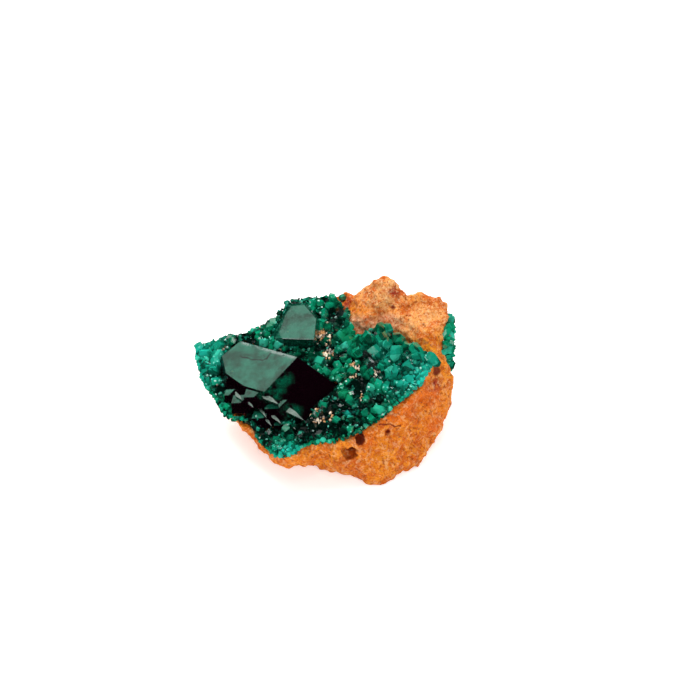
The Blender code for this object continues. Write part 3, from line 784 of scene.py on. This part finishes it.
@dataclass
class Scatter:
    """Small bodies grown over a surface by a node tree."""

    name: str
    spacing: float
    smallest: float
    largest: float
    lean: float
    seed: int
    stretch: float = 1.0
    patch_size: float = 1.6
    bareness: float = 0.0

    def tree(self) -> Tree:
        """Builds the node tree with its named inputs.

        Returns:
            The tree.
        """
        tree = bpy.data.node_groups.new(self.name, "GeometryNodeTree")
        for label, kind in (("Geometry", "Geometry"), ("Grain", "Object"), ("Spacing", "Float"),
                            ("Smallest", "Float"), ("Largest", "Float"), ("Lean", "Float"),
                            ("Stretch", "Float"), ("Patch Size", "Float"), ("Bareness", "Float"),
                            ("Seed", "Int"), ("Finish", "Material")):
            tree.interface.new_socket(label, in_out="INPUT", socket_type=f"NodeSocket{kind}")
        tree.interface.new_socket("Geometry", in_out="OUTPUT", socket_type="NodeSocketGeometry")
        given = put(tree, "NodeGroupInput", {}).outputs
        points = self.points(tree, given)
        tone = put(tree, "FunctionNodeRandomValue", {"Seed": given["Seed"]}, data_type="FLOAT")
        marked = put(tree, "GeometryNodeStoreNamedAttribute", {
            "Geometry": self.bodies(tree, given, points), "Name": "tone", "Value": tone.outputs[1],
        }, data_type="FLOAT", domain="INSTANCE")
        real = put(tree, "GeometryNodeRealizeInstances", {"Geometry": marked.outputs["Geometry"]})
        painted = put(tree, "GeometryNodeSetMaterial", {
            "Geometry": real.outputs["Geometry"], "Material": given["Finish"],
        })
        put(tree, "NodeGroupOutput", {"Geometry": painted.outputs["Geometry"]})
        return tree

    def points(self, tree: Tree, given: Outputs) -> Outputs:
        """Adds the nodes that spread points, with bare patches between them.

        Args:
            tree: the node tree.
            given: the tree's inputs.

        Returns:
            The outputs of the spreading node.
        """
        finer = put(tree, "ShaderNodeMath", {0: 1.0, 1: given["Patch Size"]}, operation="DIVIDE")
        patches = put(tree, "ShaderNodeTexNoise", {"Scale": finer.outputs[0], "Detail": 3.0})
        above = put(tree, "ShaderNodeMath", {0: patches.outputs["Fac"], 1: given["Bareness"]},
                    operation="SUBTRACT")
        steep = put(tree, "ShaderNodeMath", {0: above.outputs[0], 1: PATCH_EDGE},
                    operation="MULTIPLY", use_clamp=True)
        return put(tree, "GeometryNodeDistributePointsOnFaces", {
            "Mesh": given["Geometry"], "Distance Min": given["Spacing"], "Seed": given["Seed"],
            "Density Max": DENSEST, "Density Factor": steep.outputs[0],
        }, distribute_method="POISSON").outputs

    def bodies(self, tree: Tree, given: Outputs, points: Outputs) -> Socket:
        """Adds the nodes that put a leaning body of its own size on each point.

        Args:
            tree: the node tree.
            given: the tree's inputs.
            points: outputs of the spreading node.

        Returns:
            The bodies.
        """
        lean = given["Lean"]
        back = put(tree, "ShaderNodeMath", {0: lean, 1: -1.0}, operation="MULTIPLY").outputs[0]
        low = put(tree, "ShaderNodeCombineXYZ", {0: back, 1: back})
        high = put(tree, "ShaderNodeCombineXYZ", {0: lean, 1: lean, 2: 2 * math.pi})
        tilt = put(tree, "FunctionNodeRandomValue", {
            0: low.outputs[0], 1: high.outputs[0], "Seed": given["Seed"],
        }, data_type="FLOAT_VECTOR")
        euler = put(tree, "FunctionNodeEulerToRotation", {0: tilt.outputs[0]})
        turn = put(tree, "FunctionNodeRotateRotation", {
            "Rotation": points["Rotation"], "Rotate By": euler.outputs[0],
        }, rotation_space="LOCAL")
        size = put(tree, "FunctionNodeRandomValue", {
            2: given["Smallest"], 3: given["Largest"], "Seed": given["Seed"],
        }, data_type="FLOAT").outputs[1]
        longer = put(tree, "ShaderNodeMath", {0: size, 1: given["Stretch"]}, operation="MULTIPLY")
        scale = put(tree, "ShaderNodeCombineXYZ", {0: size, 1: size, 2: longer.outputs[0]})
        shape = put(tree, "GeometryNodeObjectInfo", {"Object": given["Grain"]})
        return put(tree, "GeometryNodeInstanceOnPoints", {
            "Points": points["Points"], "Instance": shape.outputs["Geometry"],
            "Rotation": turn.outputs[0], "Scale": scale.outputs[0],
        }).outputs["Instances"]

    def grow(self, surface: Object, grain: Object, finish: Material) -> Object:
        """Grows the bodies and removes the surface they grew on.

        Args:
            surface: where they grow.
            grain: the body that is repeated, 1 mm in radius.
            finish: their material.

        Returns:
            The bodies as one plain mesh.
        """
        tree = self.tree()
        step = surface.modifiers.new(self.name, "NODES")
        step.node_group = tree
        values = {
            "Grain": grain, "Spacing": self.spacing * MM, "Smallest": self.smallest,
            "Largest": self.largest, "Lean": self.lean, "Stretch": self.stretch,
            "Patch Size": self.patch_size * MM, "Bareness": self.bareness,
            "Seed": self.seed, "Finish": finish,
        }
        for item in tree.interface.items_tree:
            if item.in_out == "INPUT" and item.name in values:
                step[item.identifier] = values[item.name]
        graph = bpy.context.evaluated_depsgraph_get()
        mesh = bpy.data.meshes.new_from_object(surface.evaluated_get(graph))
        bpy.data.objects.remove(surface)
        return linked(self.name, mesh)


@dataclass
class Rock:
    """Fine granular skin of the limonitic rock."""

    voxel: float = 0.19
    lump: float = 0.34
    lump_size: float = 1.7
    crag: float = 0.3
    crag_size: float = 1.05
    crag_level: float = 0.25
    grain: float = 0.15
    grain_size: float = 0.5
    pit_spacing: float = 0.9
    pit_radius: float = 0.33
    pit_slope: float = 1.1
    pit_depth: float = 0.6
    pit_patch: float = 2.7
    pit_bareness: float = 0.05
    shade_slope: float = 2.2
    shade_start: float = 0.1

    def build(self) -> list[Piece]:
        """Makes the skin.

        Returns:
            The rock with its slot.
        """
        made = merged_copy("matrix_rock", "rock_skin")
        remesh = made.modifiers.new("Remesh", "REMESH")
        remesh.mode = "VOXEL"
        remesh.voxel_size = self.voxel * MM
        smooth = made.modifiers.new("Smooth", "SMOOTH")
        smooth.factor = 0.5
        smooth.iterations = 2
        baked(made)
        self.roughen(made.data)
        made.data.shade_smooth()
        made.data.materials.append(RockFinish().material(made))
        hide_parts("matrix_rock")
        return [(made, Slot.ROCK)]

    def pit(self, place: Vector) -> float:
        """How deep a place, in millimetres, lies in one of the rock's small pits."""
        cell = noise.voronoi(place / self.pit_spacing)[0][0]
        if noise.noise(place / self.pit_patch) > self.pit_bareness:
            return max(0.0, self.pit_radius - cell) * self.pit_slope
        return 0.0

    def roughen(self, mesh: bpy.types.Mesh) -> None:
        """Moves the points in and out for lumps and grain, and keeps how deep each lies in a pit, for the
        painted shade there.

        Args:
            mesh: the rock's mesh.
        """
        count = len(mesh.vertices)
        places = np.empty(count * 3, np.float32)
        normals = np.empty(count * 3, np.float32)
        mesh.vertices.foreach_get("co", places)
        mesh.vertex_normals.foreach_get("vector", normals)
        places = places.reshape(-1, 3)
        normals = normals.reshape(-1, 3)
        moves = np.empty((count, 1), np.float32)
        pit_shading = np.empty(count, np.float32)
        for index, place in enumerate(places / MM):
            place = Vector(place)
            lump = noise.fractal(place / self.lump_size, 1.0, 2.0, 2)
            grain = noise.noise(place / self.grain_size)
            crag = self.crag_level - abs(noise.noise(place / self.crag_size))
            pit = self.pit(place)
            moves[index] = self.lump * lump + self.crag * crag + self.grain * grain - pit * self.pit_depth
            pit_shading[index] = min(1.0, max(0.0, pit * self.shade_slope - self.shade_start))
        low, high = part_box("matrix_rock")
        places = np.clip(places + normals * moves * MM, np.array(low), np.array(high))
        mesh.vertices.foreach_set("co", places.astype(np.float32).ravel())
        mesh.update()
        # Depth in a pit, kept for the painted shade there.
        layer = mesh.attributes.new("pit_shade", "FLOAT", "POINT")
        layer.data.foreach_set("value", pit_shading)


@dataclass
class Druse:
    """The crust's small crystals, pale grains, and the finer crystals between them in pale colours that
    are painted glints.

    Outlines are (x, rise) pairs, but main_foot has (x, y) and side_rim (y, z). The seams have
    the distance from the outline and the height above the bed, side_rings the size and the
    distance outward, and singles a radius after their place.
    """

    rim: Pairs = (
        (0.9, 23.0), (1.9, 21.2), (3.3, 20.4), (2.9, 18.6), (3.6, 15.9), (5.4, 14.9), (6.3, 16.4),
        (8.3, 17.0), (10.3, 14.7), (12.6, 12.6), (14.7, 11.2), (14.3, 9.8), (13.0, 6.8), (10.1, 3.2),
        (7.0, -0.4), (4.5, -2.5), (1.1, -4.4), (-1.5, -4.7), (-3.4, -5.2), (-3.8, -6.4), (-5.3, -7.4),
        (-7.2, -6.8), (-8.6, -4.8), (-9.4, -2.6), (-10.2, -0.8), (-12.6, -0.3), (-13.8, 0.7),
        (-14.8, 3.3), (-15.8, 5.2), (-16.8, 7.2), (-17.4, 9.9), (-17.8, 12.2), (-17.2, 13.4),
        (-14.0, 14.6), (-11.5, 15.4), (-9.4, 16.7), (-7.2, 18.0), (-6.0, 20.0), (-4.4, 21.4),
        (-1.7, 22.6), (0.4, 23.0),
    )
    main_foot: Pairs = (
        (-8.6, -7.6), (-11.9, -5.6), (-14.4, -2.0), (-15.0, 2.6), (-12.2, 5.2), (-9.6, 4.6), (-3.0, 0.6),
        (2.0, -3.2), (-2.8, -9.0),
    )
    upper_foot: Pairs = (
        (-5.1, 22.4), (-2.6, 22.8), (-0.7, 19.6), (-1.0, 15.0), (-2.1, 14.3), (-6.6, 14.4), (-7.8, 15.6),
    )
    grid_step: float = 0.4
    grid_start: Pair = (-18.5, -14.5)
    grid_size: Pair = (36.0, 28.0)
    uneven: float = 0.25
    uneven_size: float = 1.3
    skirt_top: float = 0.8
    skirt_drop: float = 0.75
    skirt_out: float = 0.15
    skirt_middle: Pair = (-2.0, 0.0)
    seam_inner: Pair = (0.05, 0.75)
    seam_outer: Pair = (0.9, 0.9)
    side_rim: Pairs = (
        (1.6, 7.6), (2.6, 11.0), (4.8, 12.8), (7.6, 13.0), (9.4, 10.8), (9.2, 7.6), (6.4, 5.6), (3.2, 5.8),
    )
    side_rings: Pairs = ((1.05, -0.5), (0.86, 0.0), (0.5, 0.1), (0.2, 0.15))
    side_top: float = 17.15
    side_dent: float = 0.8
    singles: tuple[Place, ...] = (
        (3.1, 16.2, 1.2), (2.7, 4.8, 1.1), (-12.2, 1.9, 1.4), (9.3, 13.4, 1.1), (6.6, 14.2, 1.1),
        (11.6, 11.0, 1.1), (8.5, 9.6, 1.0), (-17.5, 13.2, 1.1), (-16.9, 10.4, 1.0), (2.2, 22.6, 1.7),
    )
    grain_patches: Spots = (
        (-0.5, 16.6, 1.4, 2.4), (-5.5, 14.0, 0.9, 0.8), (4.0, 9.6, 0.8, 1.7), (1.0, 12.6, 1.6, 1.0),
        (5.2, 4.6, 0.7, 1.2), (-0.4, 0.6, 1.6, 1.4), (7.2, 8.8, 0.6, 0.8), (-12.4, 13.8, 0.7, 0.6),
        (-15.2, 7.2, 0.5, 0.6), (-14.2, 14.0, 0.6, 0.5),
    )
    grain_height: float = 1.35
    grain_size: float = 0.7
    grain_bareness: float = -0.14
    single_height: float = 1.6

    def crystal(self) -> Object:
        """Six-sided crystal with three sloping end faces, 1 mm in radius, tip up.

        Returns:
            The crystal, to be repeated.
        """
        tip = 1.4
        low_drop = 1.233
        high_drop = 0.617
        builder = bmesh.new()
        corner = [(math.cos(math.radians(60 * k)), math.sin(math.radians(60 * k))) for k in range(6)]
        top = [tip - (low_drop if k % 2 == 0 else high_drop) for k in range(6)]
        apex = builder.verts.new((0, 0, tip * MM))
        ring = [builder.verts.new((x * MM, y * MM, z * MM)) for (x, y), z in zip(corner, top)]
        foot = [builder.verts.new((x * MM * 0.9, y * MM * 0.9, -1.0 * MM)) for x, y in corner]
        for k in (0, 2, 4):
            builder.faces.new((apex, ring[k - 1], ring[k], ring[k + 1]))
        for k in range(6):
            builder.faces.new((ring[k], foot[k], foot[(k + 1) % 6], ring[(k + 1) % 6]))
        builder.faces.new(list(reversed(foot)))
        return from_builder("crystal_form", builder)

    def grain(self) -> Object:
        """Uneven grain, 1 mm in radius, to be repeated.

        Returns:
            The grain.
        """
        builder = bmesh.new()
        bmesh.ops.create_icosphere(builder, subdivisions=1, radius=MM)
        for vertex in builder.verts:
            vertex.co *= 1.0 + 0.35 * noise.noise(vertex.co / MM * 1.7)
        return from_builder("grain_form", builder)

    def crust(self, lift: float, wanted: Test) -> Object:
        """Uneven surface over the bed that small bodies grow on.

        Args:
            lift: height above the bed, in millimetres.
            wanted: test of (x, y) that keeps a face.

        Returns:
            The surface.
        """
        rim = on_bed(self.rim)
        upper = on_bed(self.upper_foot, UPPER_FOOT_LIFT)
        builder = bmesh.new()
        grid = {}

        def place(i: float, j: float) -> Pair:
            """Place (x, y) of a point of the grid."""
            return self.grid_start[0] + i * self.grid_step, self.grid_start[1] + j * self.grid_step

        def vertex(i: int, j: int) -> bmesh.types.BMVert:
            """Point of the grid, made when first asked for."""
            if (i, j) not in grid:
                x, y = place(i, j)
                bump = self.uneven * noise.noise(Vector((x, y, 0.0)) / self.uneven_size)
                grid[i, j] = builder.verts.new(point(x, y, bed_height(x, y) + lift + bump))
            return grid[i, j]

        for i in range(int(self.grid_size[0] / self.grid_step)):
            for j in range(int(self.grid_size[1] / self.grid_step)):
                x, y = place(i + 0.5, j + 0.5)
                if not inside(rim, x, y) or inside(self.main_foot, x, y) or inside(upper, x, y):
                    continue
                if wanted(x, y):
                    corners = ((i, j), (i + 1, j), (i + 1, j + 1), (i, j + 1))
                    builder.faces.new([vertex(*corner) for corner in corners])
        return from_builder("crust", builder, outward=False)

    def skirt(self) -> Object:
        """Band that turns down along the free edge of the crust.

        Returns:
            The band.
        """
        builder = bmesh.new()
        top = self.skirt_top
        foot = self.skirt_top - self.skirt_drop
        for (ax, ay), (bx, by) in sides(on_bed(self.rim)):
            middle = Vector(((ax + bx) / 2, (ay + by) / 2))
            out = (middle - Vector(self.skirt_middle)).normalized() * self.skirt_out
            builder.faces.new([
                builder.verts.new(point(x + out.x, y + out.y, bed_height(x, y) + up))
                for x, y, up in ((ax, ay, top), (ax, ay, foot), (bx, by, foot), (bx, by, top))
            ])
        return from_builder("skirt", builder, outward=False)

    def seam(self) -> Object:
        """Narrow bands around the feet of the two large crystals that small bodies grow on.

        Returns:
            The bands.
        """
        builder = bmesh.new()
        inner, outer = self.seam_inner, self.seam_outer
        for outline in (self.main_foot, on_bed(self.upper_foot, UPPER_FOOT_LIFT)):
            middle = Vector((sum(x for x, _ in outline), sum(y for _, y in outline))) / len(outline)
            for start, end in sides(outline):
                face = []
                for (x, y), (out, up) in ((start, inner), (end, inner), (end, outer), (start, outer)):
                    away = (Vector((x, y)) - middle).normalized() * out
                    px, py = x + away.x, y + away.y
                    face.append(builder.verts.new(point(px, py, bed_height(px, py) + up)))
                builder.faces.new(face)
        return one_sided("seam", builder, 2)

    def flank(self) -> Object:
        """Surface over the crust on the right flank, with its edge turned down to the rock.

        Returns:
            The surface.
        """
        builder = bmesh.new()
        middle_y = sum(y for y, _ in self.side_rim) / len(self.side_rim)
        middle_z = sum(z for _, z in self.side_rim) / len(self.side_rim)
        rings = []
        for size, out in self.side_rings:
            ring = []
            for index, (y, z) in enumerate(self.side_rim):
                share = size * (1.0 if index % 3 else self.side_dent)
                y = middle_y + (y - middle_y) * share
                z = middle_z + (z - middle_z) * share
                ring.append(builder.verts.new(point(self.side_top + out, y, z)))
            rings.append(ring)
        for outer, inner in zip(rings, rings[1:]):
            for (start, end), (near_start, near_end) in zip(sides(outer), sides(inner)):
                builder.faces.new((start, end, near_end, near_start))
        builder.faces.new(rings[-1])
        return one_sided("flank", builder, 0)

    def joined(self, pieces: list[Object]) -> Object:
        """Copy of several pieces in one object, for finer crystals to sit on."""
        builder = bmesh.new()
        for piece in pieces:
            builder.from_mesh(piece.data)
        return from_builder("joined", builder)

    def grainy(self, x: float, y: float) -> bool:
        """Whether pale grains lie at a place: in a few patches, thickest by the upper crystal.

        Args:
            x: to the right.
            y: to the rear.

        Returns:
            True where they lie.
        """
        rise = y + bed_height(x, y) + self.grain_height
        for px, pr, wide, high in self.grain_patches:
            if math.hypot((x - px) / wide, (rise - pr) / high) < 1.0:
                return noise.noise(Vector((x, y, 3.0)) / self.grain_size) > self.grain_bareness
        return False

    def open_place(self, x: float, y: float) -> bool:
        """Whether small crystals may hide what is at a place: no single crystal, no pale grains.

        Args:
            x: to the right.
            y: to the rear.

        Returns:
            True where they may.
        """
        rise = y + bed_height(x, y) + self.single_height
        if any(math.hypot(x - px, rise - pr) < size for px, pr, size in self.singles):
            return False
        return not self.grainy(x, y)

    def build(self) -> list[Piece]:
        """Dresses the crusts and grows the small bodies.

        Returns:
            The pieces with their slots.
        """
        form = self.crystal()
        grain = self.grain()
        dress("front_druse", DruseFinish().material())
        dress("side_druse", DruseFinish("flank dioptase", teal=(0.01, 0.3, 0.2), **NO_PAINTED_SHADE).material())
        side = DruseFinish("flank crystals", transmission=0.35, grown=True, **NO_PAINTED_SHADE).material()
        dress("stray_crystal", DruseFinish("stray dioptase", **NO_PAINTED_SHADE).material())
        small = DruseFinish("small dioptase", transmission=0.3, low=0.9, high=1.8, grown=True).material()
        rim = DruseFinish("rim dioptase", transmission=0.3, low=-0.3, high=0.9, grown=True).material()
        pale = GrainFinish().material()
        # Tiny crystals in pale colours that stand as painted glints.
        glint_finish = DruseFinish("glint dioptase", teal=(0.2, 0.8, 0.65), emerald=(0.05, 0.5, 0.34),
                           pale=(0.75, 0.95, 0.88), transmission=0.2, low=0.4, high=1.2,
                           grown=True, gap_shade=0.5).material()
        first = [
            Scatter("small_crystals", 0.42, 0.12, 0.34, 1.1, 7, 1.2, 1.4, 0.44).grow(
                self.crust(0.9, self.open_place), form, small),
            Scatter("middle_crystals", 0.95, 0.3, 0.75, 0.8, 5, 1.3, 2.0, 0.49).grow(
                self.crust(1.1, self.open_place), form, small),
            Scatter("edge_crystals", 0.36, 0.14, 0.36, 0.9, 8).grow(self.skirt(), form, rim),
            Scatter("slender_crystals", 0.9, 0.08, 0.17, 0.9, 31, 3.0, 1.8, 0.46).grow(
                self.crust(1.0, self.open_place), form, small),
        ]
        grains = Scatter("pale_grains", 0.26, 0.1, 0.3, 3.0, 9, 0.8).grow(
            self.crust(1.2, self.grainy), grain, pale)
        last = [
            # Tiny crystals, pale as painted glints.
            Scatter("fine_crystals", 0.55, 0.06, 0.15, 1.4, 21, 1.0, 1.2, 0.47).grow(
                self.joined(first[:2]), form, glint_finish),
            Scatter("seam_crystals", 0.34, 0.14, 0.34, 1.0, 12, 1.2).grow(self.seam(), form, small),
            Scatter("flank_crystals", 0.55, 0.2, 0.55, 0.9, 4, 1.5).grow(self.flank(), form, side),
        ]
        for helper in (form, grain):
            bpy.data.objects.remove(helper)
        grown = [(piece, Slot.DRUSE) for piece in first] + [(grains, Slot.ROCK)]
        return grown + [(piece, Slot.DRUSE) for piece in last]


@dataclass
class BigCrystals:
    """The main and the upper crystal, with the narrow shining terraces by the main one.

    Each terrace has a line between two places (x, rise) and half a width. The corners of its
    outline are shares of the line's start, of its end and of that half width.
    """

    grey_normal: Place = (-0.290, -0.040, 0.956)
    crack: Pairs = ((-11.6, 12.0), (-9.8, 11.4), (-8.3, 11.5), (-7.6, 12.8))
    strip: Pairs = ((-10.9, 14.9), (-4.7, 12.4))
    bevel: float = 0.07
    terrace_lift: float = 0.3
    foot_height: float = 0.5
    foot_drop: float = 0.3
    lean_back: float = 0.45
    lean_right: float = 0.1
    terrace_lines: tuple[tuple[Pair, Pair, float], ...] = (
        ((-9.0, 5.2), (-6.4, 2.9), 0.55), ((-6.5, 3.3), (-2.9, -0.2), 0.60),
        ((-7.6, 1.3), (-6.0, -0.9), 0.35), ((-9.2, 2.6), (-8.0, 0.2), 0.25),
        ((-12.4, 5.2), (-11.4, 3.6), 0.35), ((-8.3, 0.4), (-7.3, -1.4), 0.22),
        ((-5.2, -0.4), (-4.0, -2.0), 0.25), ((-10.6, 3.4), (-9.8, 2.2), 0.22),
    )
    terrace_outline: tuple[Place, ...] = (
        (1.0, 0.0, 0.0), (0.62, 0.38, 1.0), (0.0, 1.0, 0.0), (0.4, 0.6, -0.7), (1.0, 0.0, -0.4),
    )

    def build(self) -> list[Piece]:
        """Makes both crystals with softened edges, and the terraces.

        Returns:
            The pieces with their slots.
        """
        dark = DarkFinish().material()
        grey = GreyFinish(crack=self.crack, strip=self.strip).material()
        upper = GreyFinish("speckled dioptase", speck=0.7).material()
        # Pale grey-green on the terrace tops: painted sheen, besides the light they mirror.
        terrace_sheen = GreyFinish("terrace dioptase", colour=(0.15, 0.24, 0.19), cloudy=(0.32, 0.43, 0.36))
        side = DarkFinish("upper sides", colour=(0.006, 0.12, 0.07)).material()
        return [
            (self.terraces(dark, terrace_sheen.material()), Slot.GREY_GREEN),
            (self.faces("main_crystal", dark, grey), Slot.DARK),
            (self.faces("upper_crystal", side, upper), Slot.GREY_GREEN),
        ]

    def paint(self, piece: Object, dark: Material, grey: Material, least: float) -> None:
        """Gives a piece two finishes by the facing of its faces; those towards the light get the lighter
        one, as painted sheen.

        Args:
            piece: the piece.
            dark: finish of most faces.
            grey: finish of the faces that lie towards the light.
            least: cosine from which a face counts as one of those.
        """
        piece.data.materials.append(dark)
        piece.data.materials.append(grey)
        toward = Vector(self.grey_normal).normalized()
        for face in piece.data.polygons:
            face.material_index = 1 if face.normal.dot(toward) > least else 0

    def faces(self, node: str, dark: Material, grey: Material) -> Object:
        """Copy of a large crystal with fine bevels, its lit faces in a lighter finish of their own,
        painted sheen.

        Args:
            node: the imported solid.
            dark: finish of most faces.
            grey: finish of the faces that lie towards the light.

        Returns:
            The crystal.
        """
        piece = merged_copy(node, f"{node}_faces")
        builder = bmesh.new()
        builder.from_mesh(piece.data)
        flat = math.radians(1.0)
        bmesh.ops.dissolve_limit(builder, angle_limit=flat, verts=builder.verts, edges=builder.edges)
        builder.to_mesh(piece.data)
        builder.free()
        bevel = piece.modifiers.new("Bevel", "BEVEL")
        bevel.width = self.bevel * MM
        bevel.segments = 1
        bevel.limit_method = "ANGLE"
        bevel.angle_limit = math.radians(12)
        baked(piece)
        self.paint(piece, dark, grey, 0.9)
        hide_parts(node)
        return piece

    def terraces(self, dark: Material, grey: Material) -> Object:
        """Low columns with tops parallel to the grey face, rooted in the crust under them.

        Args:
            dark: finish of their sides.
            grey: finish of their tops.

        Returns:
            The columns as one object.
        """
        toward = Vector((0.0, -1.0, 1.0)).normalized()
        normal = Vector(self.grey_normal).normalized()
        nodes = [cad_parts[node] for node in ("main_crystal", "front_druse")]
        builder = bmesh.new()
        for (ax, ar), (bx, br), half in self.terrace_lines:
            mx, mr = (ax + bx) / 2, (ar + br) / 2
            found = [place for node in nodes if (place := seen_place(node, mx, mr))]
            if not found:
                log.info("no crust under the terrace at %.1f, %.1f", mx, mr)
                continue
            middle = point(*max(found, key=lambda place: place[2])) + normal * self.terrace_lift * MM
            across = Vector((br - ar, ax - bx)).normalized() * half
            top = []
            for start, end, out in self.terrace_outline:
                x = ax * start + bx * end + across.x * out
                rise = ar * start + br * end + across.y * out
                near = point(x, rise / 2, rise / 2)
                top.append(near + toward * ((middle - near).dot(normal) / toward.dot(normal)))
            high = [builder.verts.new(corner) for corner in top]
            low = [builder.verts.new(self.foot(corner)) for corner in top]
            builder.faces.new(high)
            builder.faces.new(list(reversed(low)))
            for (low_start, low_end), (high_start, high_end) in zip(sides(low), sides(high)):
                builder.faces.new((low_start, low_end, high_end, high_start))
        made = from_builder("terraces", builder)
        self.paint(made, dark, grey, 0.99)
        return made

    def foot(self, corner: Vector) -> Vector:
        """Foot of a column's corner: in the crust, a little behind it.

        Args:
            corner: the corner of the top, in metres.

        Returns:
            The foot, in metres.
        """
        x, y = corner.x / MM + CENTRE_X, corner.y / MM + CENTRE_Y
        drop = corner.z / MM - bed_height(x, y) - self.foot_height
        y += self.lean_back * drop
        z = min(bed_height(x, y) + self.foot_height, corner.z / MM - self.foot_drop)
        return point(x + self.lean_right * drop, y, z)


@dataclass
class Studio:
    """Floor, light and camera, in metres, but aim and sensor are in millimetres."""

    distance: float = 0.6
    elevation: float = 45.0
    aim: Place = (3.42, 5.35, 8.0)
    frame_width: float = 0.09765
    sensor: float = 36.0
    around: float = 0.55
    floor_drop: float = 0.00002
    panels: tuple[tuple[str, Place, float, float, float, bool], ...] = (
        ("mirrored panel", (-0.41, 0.65, 0.64), 0.55, 0.34, 0.8, True),
        ("soft key", (-0.30, 0.42, 0.86), 0.70, 0.34, 10.2, False),
        ("front fill", (0.30, -0.80, 0.55), 0.70, 0.50, 2.4, False),
        ("back glint", (0.10, 0.73, 0.67), 0.55, 0.14, 5.0, True),
        ("top glint", (-0.05, -0.25, 0.97), 0.60, 0.12, 4.0, True),
        ("left glint", (-0.75, -0.45, 0.40), 0.55, 0.18, 3.0, True),
        ("right glint", (0.80, 0.50, 0.42), 0.55, 0.18, 3.5, True),
        ("spark", (0.45, 0.45, 0.80), 0.60, 0.05, 34.0, True),
        ("second spark", (-0.55, 0.05, 0.83), 0.60, 0.04, 34.0, True),
        ("third spark", (0.20, 0.80, 0.57), 0.60, 0.04, 34.0, True),
        ("fourth spark", (0.05, 0.15, 0.98), 0.60, 0.04, 34.0, True),
    )

    def build(self) -> None:
        """Makes the studio."""
        self.floor()
        for panel in self.panels:
            self.light(*panel)
        self.world()
        self.camera()

    def floor(self) -> None:
        """Plain pale floor, just under the specimen."""
        builder = bmesh.new()
        bmesh.ops.create_grid(builder, x_segments=1, y_segments=1, size=3.0)
        made = from_builder("floor", builder)
        made.location.z = -self.floor_drop
        shader = Shader("pale floor")
        shader.set(Base_Color=(0.9, 0.9, 0.9, 1.0), Roughness=0.9, Specular_IOR_Level=0.0)
        shader.set(Emission_Color=(1.0, 1.0, 1.0, 1.0), Emission_Strength=0.35)
        made.data.materials.append(shader.material)
        made.visible_glossy = False

    def light(self, name: str, toward: Place, distance: float, size: float, glow: float,
              shine: bool) -> None:
        """Square soft light aimed at the specimen.

        Args:
            name: the light's name.
            toward: direction from the specimen to the light.
            distance: how far it stands.
            size: its side.
            glow: brightness of its surface, where one is white.
            shine: whether faces mirror it.
        """
        lamp = bpy.data.lights.new(name, "AREA")
        lamp.size = size
        lamp.energy = glow * math.pi * size ** 2
        made = linked(name, lamp)
        direction = Vector(toward).normalized()
        made.location = direction * distance
        made.rotation_euler = direction.to_track_quat("Z", "Y").to_euler()
        made.visible_glossy = shine
        made.visible_camera = False

    def world(self) -> None:
        """Even white surroundings for diffuse light."""
        made = bpy.data.worlds.new("studio")
        made.use_nodes = True
        back = made.node_tree.nodes["Background"]
        back.inputs["Color"].default_value = (1.0, 1.0, 1.0, 1.0)
        back.inputs["Strength"].default_value = self.around
        made.cycles_visibility.glossy = False
        bpy.context.scene.world = made

    def camera(self) -> None:
        """Camera at the photograph's angle above the floor."""
        lens = bpy.data.cameras.new("camera")
        lens.sensor_width = self.sensor
        lens.lens = self.sensor * self.distance / self.frame_width
        lens.clip_end = 10.0
        angle = math.radians(self.elevation)
        toward = Vector((0.0, -math.cos(angle), math.sin(angle)))
        made = linked("camera", lens)
        made.location = point(*self.aim) + toward * self.distance
        made.rotation_euler = (-toward).to_track_quat("-Z", "Y").to_euler()
        bpy.context.scene.camera = made


def main() -> None:
    """Builds the dressed specimen and its studio."""
    logging.basicConfig(level=logging.INFO, format="%(message)s")
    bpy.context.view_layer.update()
    bpy.context.scene.view_settings.view_transform = "Standard"
    pieces = Rock().build() + Druse().build() + BigCrystals().build()
    for piece, slot in pieces:
        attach(piece, BODY)
        log.info("%s: %d faces", piece.name, len(piece.data.polygons))
    for node in ("front_druse", "side_druse", "stray_crystal"):
        log.info("%s: packed solid, dressed", node)
    Studio().build()


if __name__ == "__main__":
    main()
